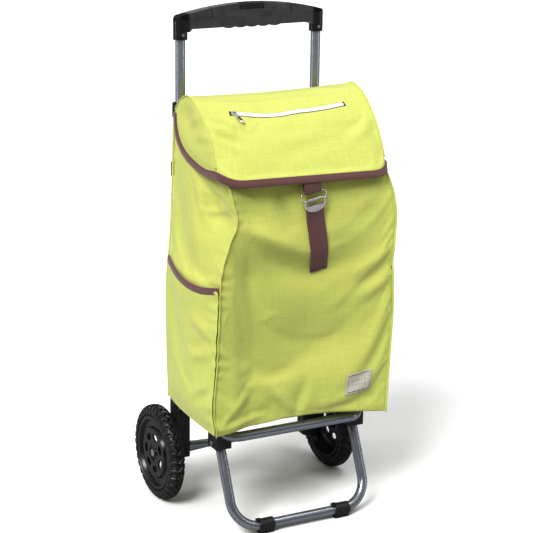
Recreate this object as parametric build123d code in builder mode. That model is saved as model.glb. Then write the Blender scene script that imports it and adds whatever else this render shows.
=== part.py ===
"""Folding two-wheeled shopping trolley with a fabric bag and a telescopic handle.

Frame: X to the right seen from the front, Y to the back, Z up, in millimetres.
The origin is on the floor, midway across and midway along the whole trolley.
Every piece is written as one STEP file, named after the piece.
"""
from build123d import *
from math import cos, radians, sin
import os

os.makedirs("parts", exist_ok=True)

# Overall layout
overall_depth = 334.6
wheel_radius = 90.6
axle_setforward = 3.0          # the axle stands this far in front of the uprights
axle_y = overall_depth / 2 - wheel_radius
upright_y = axle_y + axle_setforward
upright_x = 138.0              # half the distance between the two uprights

# Tubes
thin_tube_r = 9.0
outer_tube_r = 11.0
tube_wall = 1.2
fit_gap = 0.1
outer_tube_bottom = 112.0
outer_tube_top = 752.0
inner_tube_bottom = 562.0
inner_tube_top = 891.0
collar_bottom = 730.0
collar_top = 756.0
collar_r = 14.5

# Handle grip
grip_half_width = 150.8
grip_half_depth = 12.8
elbow_bottom = 870.0
elbow_r = 12.8
grip_underside = 889.0
grip_split = 906.0             # where the covers meet the lower shell
grip_shoulder = 913.0
grip_crown = 930.0
grip_corner_r = 12.0
channel_floor = 893.5
channel_half_depth = 10.0
groove_x = 80.0                # joints between the three covers
button_half_width = 24.6
button_half_depth = 8.2
button_bottom = 909.5
bar_bottom = 898.0
bar_thickness = 4.0

# Wheels
wheel_x = 183.0
tyre_width = 30.0
rim_r = 68.0
axle_r = 4.0
hub_bore_r = 4.08
hub_inner_x = -26.0            # hub faces, measured outward from the wheel's middle
hub_outer_x = 9.5
spoke_slots = 7

# Wheel brackets and cross tube
bracket_half_width = 15.0
bracket_front = -13.0          # bracket faces, measured from the uprights' axis
bracket_back = 17.0
bracket_bottom = 73.0
bracket_top = 262.0
cross_tube_r = 8.0

# Shelf and folding leg, heights from the floor and Y from the uprights
shelf_z = 182.0
shelf_pivot_y = -30.0
shelf_front_y = -206.0
shelf_bend_r = 28.0
pin_r = 3.0
leg_pivot_y = -166.5
leg_pivot_z = 162.0
leg_foot_y = -234.0
leg_foot_z = 14.5
leg_bend_r = 52.0
clip_x = 78.6
clip_length = 33.0
clip_r = 12.3

# Bag
cloth = 1.6
bag_half_width = 175.0
bag_front = -235.0
bag_back = -15.2
bag_bottom = 197.0
bag_shoulder = 555.0           # above this the walls lean in towards the mouth
bag_neck = 646.0               # and above this the side walls stand upright again
bag_mouth = 675.0
bag_mouth_half_width = 160.0
bag_mouth_front = -224.0
bag_back_top = 728.0
pocket_height = 262.0
pocket_sag = 11.0
pocket_room = 6.0
binding_width = 11.0

# Lid, a hood that bends along a line just above its rear seam
lid_half_width = 165.5
lid_seam_y = -19.0
lid_seam_z = 733.0
lid_bend = 0.5                 # where the bend lies along the rear arc
lid_ridge_y = -93.0
lid_ridge_z = 785.0
lid_brow_y = -180.0
lid_brow_z = 731.0
lid_edge_y = -243.0
lid_edge_z = 649.0

# Strap and buckle
strap_width = 32.0
strap_thickness = 1.5
strap_lean = 9.0               # degrees that the strap runs off the vertical
buckle_x = 8.0
buckle_z = 605.5
zip_length = 231.0
zip_x = 2.0


def save(piece, name):
    """Label a finished piece and write its STEP file."""
    piece.part.label = name
    export_step(piece.part, f"parts/{name}.step")


def box_between(x, y, z, mode=Mode.ADD):
    """A box from pairs of limits, with Y measured from the uprights."""
    centre = ((x[0] + x[1]) / 2, upright_y + (y[0] + y[1]) / 2, (z[0] + z[1]) / 2)
    with Locations(centre):
        Box(abs(x[1] - x[0]), abs(y[1] - y[0]), abs(z[1] - z[0]), mode=mode)


def side_plane(x=0.0):
    """A plane facing +X, with its local axes along Y from the uprights and Z."""
    return Plane(origin=(x, upright_y, 0), x_dir=(0, 1, 0), z_dir=(1, 0, 0))


def front_plane(y=0.0):
    """A plane facing the front, with its local axes along X and Z."""
    return Plane(origin=(0, upright_y + y, 0), x_dir=(1, 0, 0), z_dir=(0, -1, 0))


def side_name(stem, side):
    return f"{stem}_left" if side < 0 else f"{stem}_right"


def tube_section(line, outer, inner=0.0):
    """The ring that sweeps along a line, drawn square to its start."""
    start = line.wires()[0]
    with BuildSketch(Plane(origin=start @ 0, z_dir=start % 0)) as ring:
        Circle(outer)
        if inner:
            Circle(inner, mode=Mode.SUBTRACT)
    return ring


# ---------------------------------------------------------------- frame tubes

def upright_tube(side, radius, bottom, top):
    with BuildPart() as tube:
        with BuildSketch(Plane.XY.offset(bottom)):
            with Locations((side * upright_x, upright_y)):
                Circle(radius)
                Circle(radius - tube_wall, mode=Mode.SUBTRACT)
        extrude(amount=top - bottom)
    return tube


def upright_collar(side):
    """The guide bush that caps an outer tube and guides the inner one."""
    seat = outer_tube_top + fit_gap
    with BuildPart() as collar:
        with BuildSketch(Plane.XY.offset(collar_bottom)):
            with Locations((side * upright_x, upright_y)):
                Circle(collar_r)
        extrude(amount=collar_top - collar_bottom)
        fillet(collar.edges().group_by(Axis.Z)[-1], radius=2.0)
        with Locations((side * upright_x, upright_y, collar_bottom)):
            Cylinder(
                outer_tube_r + fit_gap,
                seat - collar_bottom,
                align=(Align.CENTER, Align.CENTER, Align.MIN),
                mode=Mode.SUBTRACT,
            )
        with Locations((side * upright_x, upright_y, seat)):
            Cylinder(
                thin_tube_r + fit_gap,
                collar_top,
                align=(Align.CENTER, Align.CENTER, Align.MIN),
                mode=Mode.SUBTRACT,
            )
    return collar


def wheel_bracket(side):
    """A moulded foot: socket for the upright, bore for the axle, fork for the shelf."""
    left = side * upright_x - bracket_half_width
    right = side * upright_x + bracket_half_width
    nose = shelf_pivot_y - 11.0
    lip_back = shelf_pivot_y - 6.0
    lip_top = shelf_z - thin_tube_r - 0.2
    slot = thin_tube_r + 0.4
    with BuildPart() as bracket:
        box_between((left, right), (bracket_front, bracket_back), (bracket_bottom, bracket_top))
        fillet(bracket.edges().filter_by(Axis.Z), radius=4.0)
        fillet(bracket.edges().group_by(Axis.Z)[0], radius=2.5)
        box_between((left, right), (nose, bracket_front + 2), (lip_top - 4, shelf_z + 12))
        box_between(
            (side * upright_x - slot, side * upright_x + slot),
            (lip_back, bracket_front - 0.2),
            (lip_top - 6, shelf_z + 14),
            Mode.SUBTRACT,
        )
        box_between(
            (side * upright_x - slot, side * upright_x + slot),
            (nose - 1, lip_back),
            (lip_top, shelf_z + 14),
            Mode.SUBTRACT,
        )
        with Locations((side * upright_x, upright_y, outer_tube_bottom)):
            Cylinder(
                outer_tube_r + fit_gap,
                bracket_top,
                align=(Align.CENTER, Align.CENTER, Align.MIN),
                mode=Mode.SUBTRACT,
            )
        with Locations(Location((side * upright_x, axle_y, wheel_radius), (0, 90, 0))):
            Cylinder(axle_r + fit_gap, 50, mode=Mode.SUBTRACT)
        with Locations(Location((side * upright_x, upright_y + shelf_pivot_y, shelf_z), (0, 90, 0))):
            Cylinder(pin_r + fit_gap, 50, mode=Mode.SUBTRACT)
    return bracket


def cross_tube():
    """The round tube that ties the brackets, pressed taller at both ends."""
    end_x = upright_x - bracket_half_width - 0.3
    neck_x = 84.0
    height = 22.0
    depth = 11.5
    with BuildPart() as tube:
        for shrink, mode in ((0.0, Mode.ADD), (tube_wall, Mode.SUBTRACT)):
            with BuildSketch(Plane.YZ.offset(-neck_x)) as middle:
                with Locations((axle_y, wheel_radius)):
                    Circle(cross_tube_r - shrink)
            extrude(middle.sketch, amount=2 * neck_x, mode=mode)
            for side in (-1, 1):
                with BuildSketch(Plane.YZ.offset(side * neck_x)) as start:
                    with Locations((axle_y, wheel_radius)):
                        Circle(cross_tube_r - shrink)
                with BuildSketch(Plane.YZ.offset(side * end_x)) as end:
                    with Locations((axle_y, wheel_radius)):
                        Ellipse(depth / 2 - shrink, height / 2 - shrink)
                loft([start.sketch, end.sketch], mode=mode)
    return tube


def lateral_rods(places, radius, length, head_r=0.0, head=0.0):
    """Pins that lie along X, each with a head at both ends when one is asked for."""
    with BuildPart() as rods:
        for x, y, z in places:
            with Locations(Location((x, y, z), (0, 90, 0))):
                Cylinder(radius, length)
            if head:
                for end in (-1, 1):
                    reach = end * (length - head) / 2
                    with Locations(Location((x + reach, y, z), (0, 90, 0))):
                        Cylinder(head_r, head)
    return rods


# --------------------------------------------------------------- shelf and leg

def shelf_path():
    """The shelf's U: pivot ends at the back, rounded corners, straight front."""
    back = upright_y + shelf_pivot_y + 5.0
    front = upright_y + shelf_front_y
    with BuildLine() as path:
        FilletPolyline(
            (-upright_x, back, shelf_z),
            (-upright_x, front, shelf_z),
            (upright_x, front, shelf_z),
            (upright_x, back, shelf_z),
            radius=shelf_bend_r,
        )
    return path


def leg_path():
    """The leg's U, leaning forward from its two pivots to the floor bar."""
    run = Vector(0, leg_pivot_y - leg_foot_y, leg_pivot_z - leg_foot_z).normalized()
    top_y = upright_y + leg_pivot_y + run.Y * 5.0
    top_z = leg_pivot_z + run.Z * 5.0
    foot_y = upright_y + leg_foot_y
    with BuildLine() as path:
        FilletPolyline(
            (-upright_x, top_y, top_z),
            (-upright_x, foot_y, leg_foot_z),
            (upright_x, foot_y, leg_foot_z),
            (upright_x, top_y, top_z),
            radius=leg_bend_r,
        )
    return path


def bent_tube(path, pivots):
    """A thin tube swept along a path, with cross holes for its pivot pins."""
    with BuildPart() as tube:
        section = tube_section(path, thin_tube_r, thin_tube_r - tube_wall)
        sweep(section.sketch, path=path.wires()[0])
        for y, z in pivots:
            for side in (-1, 1):
                with Locations(Location((side * upright_x, y, z), (0, 90, 0))):
                    Cylinder(pin_r + 0.05, 30, mode=Mode.SUBTRACT)
    return tube


def tube_envelope(path):
    """The space that a bent tube takes, with the clearance a moulding leaves."""
    with BuildPart() as envelope:
        section = tube_section(path, thin_tube_r + 0.15)
        sweep(section.sketch, path=path.wires()[0])
    return envelope.part


def leg_clamp(side, envelope):
    """The moulded block that grips the shelf tube and forks over the leg's top."""
    left = side * upright_x - 14.5
    right = side * upright_x + 14.5
    slot = thin_tube_r + 0.4
    front = leg_pivot_y - 20.5
    with BuildPart() as clamp:
        box_between((left, right), (front, leg_pivot_y + 17), (leg_pivot_z - 9, shelf_z + 12))
        fillet(clamp.edges().filter_by(Axis.X), radius=3.0)
        box_between(
            (side * upright_x - slot, side * upright_x + slot),
            (front + 4, leg_pivot_y + 20),
            (leg_pivot_z - 20, leg_pivot_z + 11),
            Mode.SUBTRACT,
        )
        add(envelope, mode=Mode.SUBTRACT)
        with Locations(Location((side * upright_x, upright_y + leg_pivot_y, leg_pivot_z), (0, 90, 0))):
            Cylinder(pin_r + fit_gap, 40, mode=Mode.SUBTRACT)
    return clamp


def foot_clip(side, envelope):
    """A round moulded shoe on the floor bar, with a tab at one end and a flat pad below."""
    left = side * clip_x - clip_length / 2
    right = left + clip_length
    sleeve_left = left + 4.0
    rim = 4.5
    with BuildPart() as clip:
        for start, end, radius in (
            (sleeve_left, right, clip_r),
            (sleeve_left, sleeve_left + rim, clip_r + 0.9),
        ):
            middle = ((start + end) / 2, upright_y + leg_foot_y, leg_foot_z)
            with Locations(Location(middle, (0, 90, 0))):
                Cylinder(radius, end - start)
        box_between((sleeve_left, right), (leg_foot_y - 7, leg_foot_y + 7), (0, 6))
        box_between(
            (left, sleeve_left + rim),
            (leg_foot_y - 6, leg_foot_y + 5),
            (leg_foot_z + thin_tube_r + 0.4, leg_foot_z + clip_r + 0.6),
        )
        add(envelope, mode=Mode.SUBTRACT)
    return clip


# --------------------------------------------------------------------- wheels

def wheel_plane(side):
    """Local X runs outward along the axle and local Y up the wheel's radius."""
    return Plane(
        origin=(side * wheel_x, axle_y, wheel_radius),
        x_dir=(side, 0, 0),
        z_dir=(0, -side, 0),
    )


def wheel_hub(side):
    """A moulded hub: deep rim, stepped outer dish with slots, long centre boss."""
    axle = Axis((0, axle_y, wheel_radius), (1, 0, 0))
    dish_face = tyre_width / 2 - 2.0
    profile = [
        (hub_inner_x, hub_bore_r),
        (hub_outer_x, hub_bore_r),
        (hub_outer_x, 9.0),
        (dish_face - 2.5, 12.0),
        (dish_face, 18.0),
        (dish_face, 47.0),
        (dish_face - 4.5, 50.0),
        (dish_face - 4.5, 61.0),
        (dish_face + 0.5, 64.0),
        (dish_face + 0.5, rim_r + 2.0),
        (dish_face - 2.5, rim_r + 2.0),
        (dish_face - 2.5, rim_r),
        (-dish_face + 2.5, rim_r),
        (-dish_face + 2.5, rim_r + 2.0),
        (-dish_face - 0.5, rim_r + 2.0),
        (-dish_face - 0.5, 64.0),
        (dish_face - 8.0, 62.0),
        (dish_face - 8.0, 50.0),
        (dish_face - 3.5, 46.0),
        (dish_face - 3.5, 16.0),
        (dish_face - 9.0, 11.0),
        (hub_inner_x, 9.5),
    ]
    slot_face = Plane(
        origin=(side * (wheel_x + tyre_width), axle_y, wheel_radius),
        x_dir=(0, 1, 0),
        z_dir=(side, 0, 0),
    )
    with BuildPart() as hub:
        with BuildSketch(wheel_plane(side)):
            with BuildLine():
                Polyline(*profile, close=True)
            make_face()
        revolve(axis=axle)
        with BuildSketch(slot_face):
            with PolarLocations(32.0, spoke_slots):
                SlotOverall(19.0, 12.5, rotation=90)
        extrude(amount=-tyre_width, mode=Mode.SUBTRACT)
    return hub


def wheel_tyre(side):
    """A solid tyre with rounded shoulders, seated between the rim's flanges."""
    half = tyre_width / 2
    seat = half - 4.7
    axle = Axis((0, axle_y, wheel_radius), (1, 0, 0))
    with BuildPart() as tyre:
        with BuildSketch(wheel_plane(side)):
            with BuildLine():
                Polyline(
                    (seat, rim_r + 0.2),
                    (seat, rim_r + 2.4),
                    (half, rim_r + 4.5),
                    (half, wheel_radius - 9),
                )
                ThreePointArc((half, wheel_radius - 9), (0, wheel_radius), (-half, wheel_radius - 9))
                Polyline(
                    (-half, wheel_radius - 9),
                    (-half, rim_r + 4.5),
                    (-seat, rim_r + 2.4),
                    (-seat, rim_r + 0.2),
                    (seat, rim_r + 0.2),
                )
            make_face()
        revolve(axis=axle)
    return tyre


# --------------------------------------------------------------------- handle

def grip_outline():
    """The handle's front outline: two elbows, an arched crown, a waved underside."""
    inner_x = upright_x - elbow_r
    wave_start = 57.0
    wave_pitch = 23.0
    waves = 5
    with BuildSketch(front_plane()) as outline:
        with BuildLine():
            left_crown = (-grip_half_width + grip_corner_r, grip_shoulder)
            right_crown = (grip_half_width - grip_corner_r, grip_shoulder)
            ThreePointArc(left_crown, (0, grip_crown), right_crown)
            ThreePointArc(
                right_crown,
                (grip_half_width - 3.2, grip_shoulder - 4.6),
                (grip_half_width, grip_shoulder - grip_corner_r - 1),
            )
            Line((grip_half_width, grip_shoulder - grip_corner_r - 1), (grip_half_width, elbow_bottom))
            Line((grip_half_width, elbow_bottom), (inner_x, elbow_bottom))
            Line((inner_x, elbow_bottom), (inner_x, grip_underside - 5))
            Line((inner_x, grip_underside - 5), (inner_x - 5, grip_underside))
            Line((inner_x - 5, grip_underside), (wave_start, grip_underside))
            for wave in range(waves):
                start = wave_start - wave * wave_pitch
                ThreePointArc(
                    (start, grip_underside),
                    (start - wave_pitch / 2, grip_underside - 2.4),
                    (start - wave_pitch, grip_underside),
                )
            Line((wave_start - waves * wave_pitch, grip_underside), (-inner_x + 5, grip_underside))
            Line((-inner_x + 5, grip_underside), (-inner_x, grip_underside - 5))
            Line((-inner_x, grip_underside - 5), (-inner_x, elbow_bottom))
            Line((-inner_x, elbow_bottom), (-grip_half_width, elbow_bottom))
            Line((-grip_half_width, elbow_bottom), (-grip_half_width, grip_shoulder - grip_corner_r - 1))
            ThreePointArc(
                (-grip_half_width, grip_shoulder - grip_corner_r - 1),
                (-grip_half_width + 3.2, grip_shoulder - 4.6),
                left_crown,
            )
        make_face()
    return outline


def grip_section(top_half_depth=8.6):
    """The grip seen from its end: square below the split, leaning in above it."""
    with BuildSketch(side_plane()) as section:
        with BuildLine():
            Polyline(
                (-grip_half_depth, elbow_bottom - 1),
                (grip_half_depth, elbow_bottom - 1),
                (grip_half_depth, grip_split),
                (top_half_depth, grip_crown + 1),
                (-top_half_depth, grip_crown + 1),
                (-grip_half_depth, grip_split),
                close=True,
            )
        make_face()
    return section


def round_grip_ends():
    """Trims the part being built to a plan with half-round ends."""
    with BuildSketch(Plane.XY.offset(elbow_bottom - 1)) as plan:
        with Locations((0, upright_y)):
            SlotOverall(2 * grip_half_width, 2 * grip_half_depth)
    extrude(plan.sketch, amount=grip_crown - elbow_bottom + 6, mode=Mode.INTERSECT)


def elbow_corners(side):
    """What is cut from round an elbow to leave it a round socket."""
    top = grip_underside - 5
    with BuildPart() as corners:
        with Locations((side * upright_x, upright_y, (elbow_bottom - 1 + top) / 2)):
            Box(2 * elbow_r + 4, 2 * elbow_r + 4, top - elbow_bottom + 1)
            Cylinder(elbow_r, top - elbow_bottom + 3, mode=Mode.SUBTRACT)
    return corners


def elbow_groove(side, z):
    """A shallow ring cut round an elbow."""
    with BuildPart() as groove:
        with Locations((side * upright_x, upright_y, z + 0.45)):
            Cylinder(elbow_r + 1, 0.9)
            Cylinder(elbow_r - 0.6, 0.9, mode=Mode.SUBTRACT)
    return groove


def grip_lower_shell():
    """The tray of the handle, with sockets for the tubes and a channel for the bar."""
    with BuildPart() as shell:
        extrude(grip_outline().sketch, amount=grip_half_depth, both=True)
        extrude(grip_section().sketch, amount=grip_half_width + 1, both=True, mode=Mode.INTERSECT)
        box_between((-200, 200), (-20, 20), (grip_split, grip_crown + 5), Mode.SUBTRACT)
        round_grip_ends()
        for side in (-1, 1):
            add(elbow_corners(side), mode=Mode.SUBTRACT)
        box_between(
            (-upright_x - 6, upright_x + 6),
            (-channel_half_depth, channel_half_depth),
            (channel_floor, grip_split + 1),
            Mode.SUBTRACT,
        )
        for side in (-1, 1):
            with Locations((side * upright_x, upright_y, elbow_bottom - 1)):
                Cylinder(
                    thin_tube_r + fit_gap,
                    inner_tube_top + fit_gap - elbow_bottom + 1,
                    align=(Align.CENTER, Align.CENTER, Align.MIN),
                    mode=Mode.SUBTRACT,
                )
                Cylinder(
                    4.0,
                    40,
                    align=(Align.CENTER, Align.CENTER, Align.MIN),
                    mode=Mode.SUBTRACT,
                )
            screw_y = upright_y - grip_half_depth
            with Locations(Location((side * upright_x, screw_y, elbow_bottom + 9), (90, 0, 0))):
                Cylinder(2.9, 4.0, mode=Mode.SUBTRACT)
                Cylinder(1.6, 11.0, mode=Mode.SUBTRACT)
            for rib in range(2):
                add(elbow_groove(side, elbow_bottom + 2.4 + 2.2 * rib), mode=Mode.SUBTRACT)
    return shell


def grip_cover(start_x, end_x):
    """One of the three top covers, hollow below its crown."""
    with BuildPart() as cover:
        extrude(grip_outline().sketch, amount=grip_half_depth, both=True)
        extrude(grip_section().sketch, amount=grip_half_width + 1, both=True, mode=Mode.INTERSECT)
        round_grip_ends()
        box_between((-200, 200), (-20, 20), (elbow_bottom - 5, grip_split + 0.2), Mode.SUBTRACT)
        box_between((-200, start_x), (-20, 20), (elbow_bottom, grip_crown + 5), Mode.SUBTRACT)
        box_between((end_x, 200), (-20, 20), (elbow_bottom, grip_crown + 5), Mode.SUBTRACT)
    return cover


def centre_cover():
    """The middle cover, with the pocket that the release button drops into."""
    cover = grip_cover(-groove_x + 0.7, groove_x - 0.7)
    pocket = button_half_width + 0.4
    with cover:
        box_between((-pocket, pocket), (-20, 20), (grip_split + 12, grip_crown + 5), Mode.SUBTRACT)
        box_between(
            (-pocket, pocket),
            (-button_half_depth - 0.4, button_half_depth + 0.4),
            (grip_split - 1, grip_crown + 5),
            Mode.SUBTRACT,
        )
    return cover


def release_button():
    """The push button in the crown of the handle."""
    with BuildPart() as button:
        extrude(grip_outline().sketch, amount=button_half_depth, both=True)
        box_between((-200, 200), (-20, 20), (elbow_bottom - 5, button_bottom), Mode.SUBTRACT)
        box_between((-200, -button_half_width), (-20, 20), (elbow_bottom, grip_crown + 5), Mode.SUBTRACT)
        box_between((button_half_width, 200), (-20, 20), (elbow_bottom, grip_crown + 5), Mode.SUBTRACT)
        fillet(button.edges().filter_by(Axis.Z), radius=2.5)
        fillet(button.edges().group_by(Axis.Z)[-1], radius=1.2)
    return button


def release_bar():
    """The bar under the button that pushes both rods."""
    bar_top = bar_bottom + bar_thickness
    with BuildPart() as bar:
        box_between((-upright_x - 4, upright_x + 4), (1.5, 7.5), (bar_bottom, bar_top))
        box_between((-6, 6), (1.5, 7.5), (bar_top, button_bottom))
        for side in (-1, 1):
            box_between(
                (side * upright_x - 4, side * upright_x + 4),
                (-3, 1.5),
                (bar_bottom, bar_top),
            )
    return bar


def release_rods():
    """The two rods that reach from the bar down to the lock pins."""
    rod_bottom = inner_tube_bottom + 22
    with BuildPart() as rods:
        with Locations((-upright_x, upright_y, rod_bottom), (upright_x, upright_y, rod_bottom)):
            Cylinder(2.0, bar_bottom - rod_bottom, align=(Align.CENTER, Align.CENTER, Align.MIN))
    return rods


def button_spring():
    """The return spring between the shell's floor and the button."""
    wire_r = 0.45
    coil_r = 2.5
    height = button_bottom - channel_floor - 2 * wire_r - 0.2
    start = Plane(origin=(16, upright_y - 4, channel_floor + wire_r + 0.1), z_dir=(0, 0, 1))
    with BuildPart() as spring:
        with BuildLine(start) as coil:
            Helix(pitch=height / 6, height=height, radius=coil_r)
        wire = coil.wires()[0]
        with BuildSketch(Plane(origin=wire @ 0, z_dir=wire % 0)):
            Circle(wire_r)
        sweep(path=wire, is_frenet=True)
    return spring


def grip_screws():
    """One screw through the front of each elbow."""
    with BuildPart() as screws:
        for side in (-1, 1):
            head = (side * upright_x, upright_y - grip_half_depth + 1.2, elbow_bottom + 9)
            with Locations(Location(head, (90, 0, 0))):
                Cylinder(2.7, 1.4)
                Cylinder(0.8, 2.4, mode=Mode.SUBTRACT)
            shank = (side * upright_x, upright_y - grip_half_depth + 2.7, elbow_bottom + 9)
            with Locations(Location(shank, (90, 0, 0))):
                Cylinder(1.5, 1.8)
    return screws


def inner_plug(side):
    """The guide plug in the bottom of an inner tube, bored for its lock pin."""
    shoulder_r = outer_tube_r - tube_wall - fit_gap
    spigot_r = thin_tube_r - tube_wall - fit_gap
    with BuildPart() as plug:
        with Locations((side * upright_x, upright_y, inner_tube_bottom - 14)):
            Cylinder(shoulder_r, 13.9, align=(Align.CENTER, Align.CENTER, Align.MIN))
            Cylinder(spigot_r, 30, align=(Align.CENTER, Align.CENTER, Align.MIN))
        with Locations(Location((side * upright_x, upright_y + 5, inner_tube_bottom - 7), (90, 0, 0))):
            Cylinder(2.6, 12, mode=Mode.SUBTRACT)
    return plug


def lock_pins():
    """The spring pins that catch in the outer tubes, shown drawn back."""
    with BuildPart() as pins:
        for side in (-1, 1):
            with Locations(Location((side * upright_x, upright_y + 4.3, inner_tube_bottom - 7), (90, 0, 0))):
                Cylinder(2.5, 10)
    return pins


# ------------------------------------------------------------------------ bag

def bag_side_outline(front_margin=0.0):
    """The side wall's outline, leaning back at the front above the shoulder."""
    with BuildSketch(side_plane()) as outline:
        with BuildLine():
            Polyline(
                (bag_back, bag_bottom + cloth),
                (bag_back, bag_back_top - 8),
                (bag_mouth_front + front_margin, bag_mouth),
                (bag_front + front_margin, bag_shoulder),
                (bag_front + front_margin, bag_bottom + cloth),
                close=True,
            )
        make_face()
    return outline


def wall_corners(*outer):
    """The corners of a cloth wall seen edge on, from those of its outer face."""
    inner = [(across - cloth, up) for across, up in reversed(outer)]
    return [*outer, *inner]


def bag_side_panel(side):
    """One side wall of the bag."""
    edge_on = Plane(origin=(0, 0, 0), x_dir=(side, 0, 0), z_dir=(0, -side, 0))
    with BuildPart() as panel:
        with BuildSketch(edge_on) as wall:
            with BuildLine():
                corners = wall_corners(
                    (bag_half_width, bag_bottom + cloth),
                    (bag_half_width, bag_shoulder),
                    (bag_mouth_half_width, bag_neck),
                    (bag_mouth_half_width, bag_back_top - 8),
                )
                Polyline(*corners, close=True)
            make_face()
        extrude(wall.sketch, amount=300, both=True)
        extrude(bag_side_outline(cloth).sketch, amount=200, both=True, mode=Mode.INTERSECT)
    return panel


def bag_front_panel():
    """The front wall, narrowing above the shoulder where the mouth draws in."""
    with BuildPart() as panel:
        with BuildSketch(Plane(origin=(0, upright_y, 0), x_dir=(0, -1, 0), z_dir=(-1, 0, 0))) as wall:
            with BuildLine():
                corners = wall_corners(
                    (-bag_front, bag_bottom + cloth),
                    (-bag_front, bag_shoulder),
                    (-bag_mouth_front, bag_mouth),
                )
                Polyline(*corners, close=True)
            make_face()
        extrude(wall.sketch, amount=bag_half_width, both=True)
        with BuildSketch(front_plane()) as outline:
            with BuildLine():
                Polyline(
                    (-bag_half_width, bag_bottom),
                    (bag_half_width, bag_bottom),
                    (bag_half_width, bag_shoulder),
                    (bag_mouth_half_width, bag_neck),
                    (bag_mouth_half_width, bag_mouth),
                    (-bag_mouth_half_width, bag_mouth),
                    (-bag_mouth_half_width, bag_neck),
                    (-bag_half_width, bag_shoulder),
                    close=True,
                )
            make_face()
        extrude(outline.sketch, amount=300, both=True, mode=Mode.INTERSECT)
    return panel


def bag_back_panel():
    """The back wall, standing in front of the uprights."""
    half = bag_mouth_half_width - cloth - 0.4
    with BuildPart() as panel:
        box_between((-half, half), (bag_back - cloth, bag_back), (bag_bottom + cloth, bag_back_top))
        for side in (-1, 1):
            box_between(
                (side * half, side * (bag_half_width - cloth)),
                (bag_back - cloth, bag_back),
                (bag_bottom + cloth, bag_shoulder - 20),
            )
    return panel


def plain_plate(x, y, z, corner=0.0):
    """A flat plate with its upright corners rounded."""
    with BuildPart() as plate:
        box_between(x, y, z)
        if corner:
            fillet(plate.edges().filter_by(Axis.Z), radius=corner)
    return plate


def pocket_top(y_front, y_back, height):
    """The sagging line of a side pocket's mouth."""
    middle = (y_front + y_back) / 2
    return (y_front, height + pocket_sag), (middle, height), (y_back, height + pocket_sag)


def side_pocket(side):
    """A patch pocket on the bag's side, open at its sagging top."""
    inner = bag_half_width + 0.2
    outer = inner + pocket_room + cloth
    front, back = bag_front + 3, bag_back - 3
    bottom = bag_bottom + 3
    first, middle, last = pocket_top(front - 1, back + 1, bag_bottom + pocket_height)
    with BuildPart() as pocket:
        box_between((side * inner, side * outer), (front, back), (bottom, bag_bottom + pocket_height + 14))
        box_between(
            (side * (inner - 1), side * (outer - cloth)),
            (front + cloth, back - cloth),
            (bottom + cloth, bag_bottom + pocket_height + 20),
            Mode.SUBTRACT,
        )
        with BuildSketch(side_plane(0)) as above:
            with BuildLine():
                ThreePointArc(first, middle, last)
                Polyline(last, (last[0], 700), (first[0], 700), first)
            make_face()
        extrude(above.sketch, amount=250, both=True, mode=Mode.SUBTRACT)
    return pocket


def pocket_binding(side):
    """The tape sewn over the pocket's mouth."""
    inner = bag_half_width + 0.2 + pocket_room + cloth + 0.05
    front, back = bag_front + 3, bag_back - 3
    with BuildPart() as tape:
        with BuildSketch(side_plane(side * (inner + 0.6))) as strip:
            with BuildLine():
                upper = pocket_top(front, back, bag_bottom + pocket_height)
                lower = pocket_top(front, back, bag_bottom + pocket_height - binding_width)
                ThreePointArc(*upper)
                Line(upper[2], lower[2])
                ThreePointArc(*lower)
                Line(lower[0], upper[0])
            make_face()
        extrude(strip.sketch, amount=0.6, both=True)
    return tape


def bag_loops():
    """Webbing loops sewn to the back wall that hang the bag on the outer tubes."""
    height = 26.0
    with BuildPart() as loops:
        for z in (290.0, 640.0):
            for side in (-1, 1):
                with Locations((side * upright_x, upright_y, z)):
                    Cylinder(outer_tube_r + 1.8, height)
                box_between(
                    (side * upright_x - 8, side * upright_x + 8),
                    (bag_back + 0.1, -6),
                    (z - height / 2, z + height / 2),
                )
                with Locations((side * upright_x, upright_y, z)):
                    Cylinder(outer_tube_r + 0.2, height, mode=Mode.SUBTRACT)
    return loops


# ------------------------------------------------------------------------ lid

lid_rear_line = ThreePointArc(
    (0, lid_seam_y, lid_seam_z), (0, -39, 769), (0, lid_ridge_y, lid_ridge_z)
)
lid_front_line = ThreePointArc(
    (0, lid_ridge_y, lid_ridge_z), (0, lid_brow_y, lid_brow_z), (0, lid_edge_y, lid_edge_z)
)


def lid_plane(along):
    """A plane lying on the lid's front slope, its local Y pointing up the slope."""
    point = lid_front_line @ along
    slope = lid_front_line % along
    up_slope = Vector(0, -slope.Y, -slope.Z)
    outward = Vector(1, 0, 0).cross(up_slope)
    return Plane(origin=(0, upright_y + point.Y, point.Z), x_dir=(1, 0, 0), z_dir=outward)


def inside(line, along, inset):
    """A point of the lid's outline, moved towards the inside of the bag."""
    point = line @ along
    tangent = line % along
    return point.Y - tangent.Z * inset, point.Z + tangent.Y * inset


def lid_arcs(inset, start=0.0):
    """Draw the lid's profile from a place on its rear arc to its front edge."""
    ridge = (lid_ridge_y, lid_ridge_z - inset)
    rear = inside(lid_rear_line, start, inset)
    edge = inside(lid_front_line, 1.0, inset)
    ThreePointArc(rear, inside(lid_rear_line, (start + 1) / 2, inset), ridge)
    ThreePointArc(ridge, inside(lid_front_line, 0.5, inset), edge)
    return rear, edge


def lid_panel():
    """The top of the lid: one strip of cloth from the bend to the front edge."""
    with BuildPart() as panel:
        with BuildSketch(side_plane()) as section:
            with BuildLine():
                outer_rear, outer_edge = lid_arcs(0.0, lid_bend)
                inner_rear, inner_edge = lid_arcs(cloth, lid_bend)
                Line(outer_rear, inner_rear)
                Line(outer_edge, inner_edge)
            make_face()
        extrude(section.sketch, amount=lid_half_width, both=True)
    return panel


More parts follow.
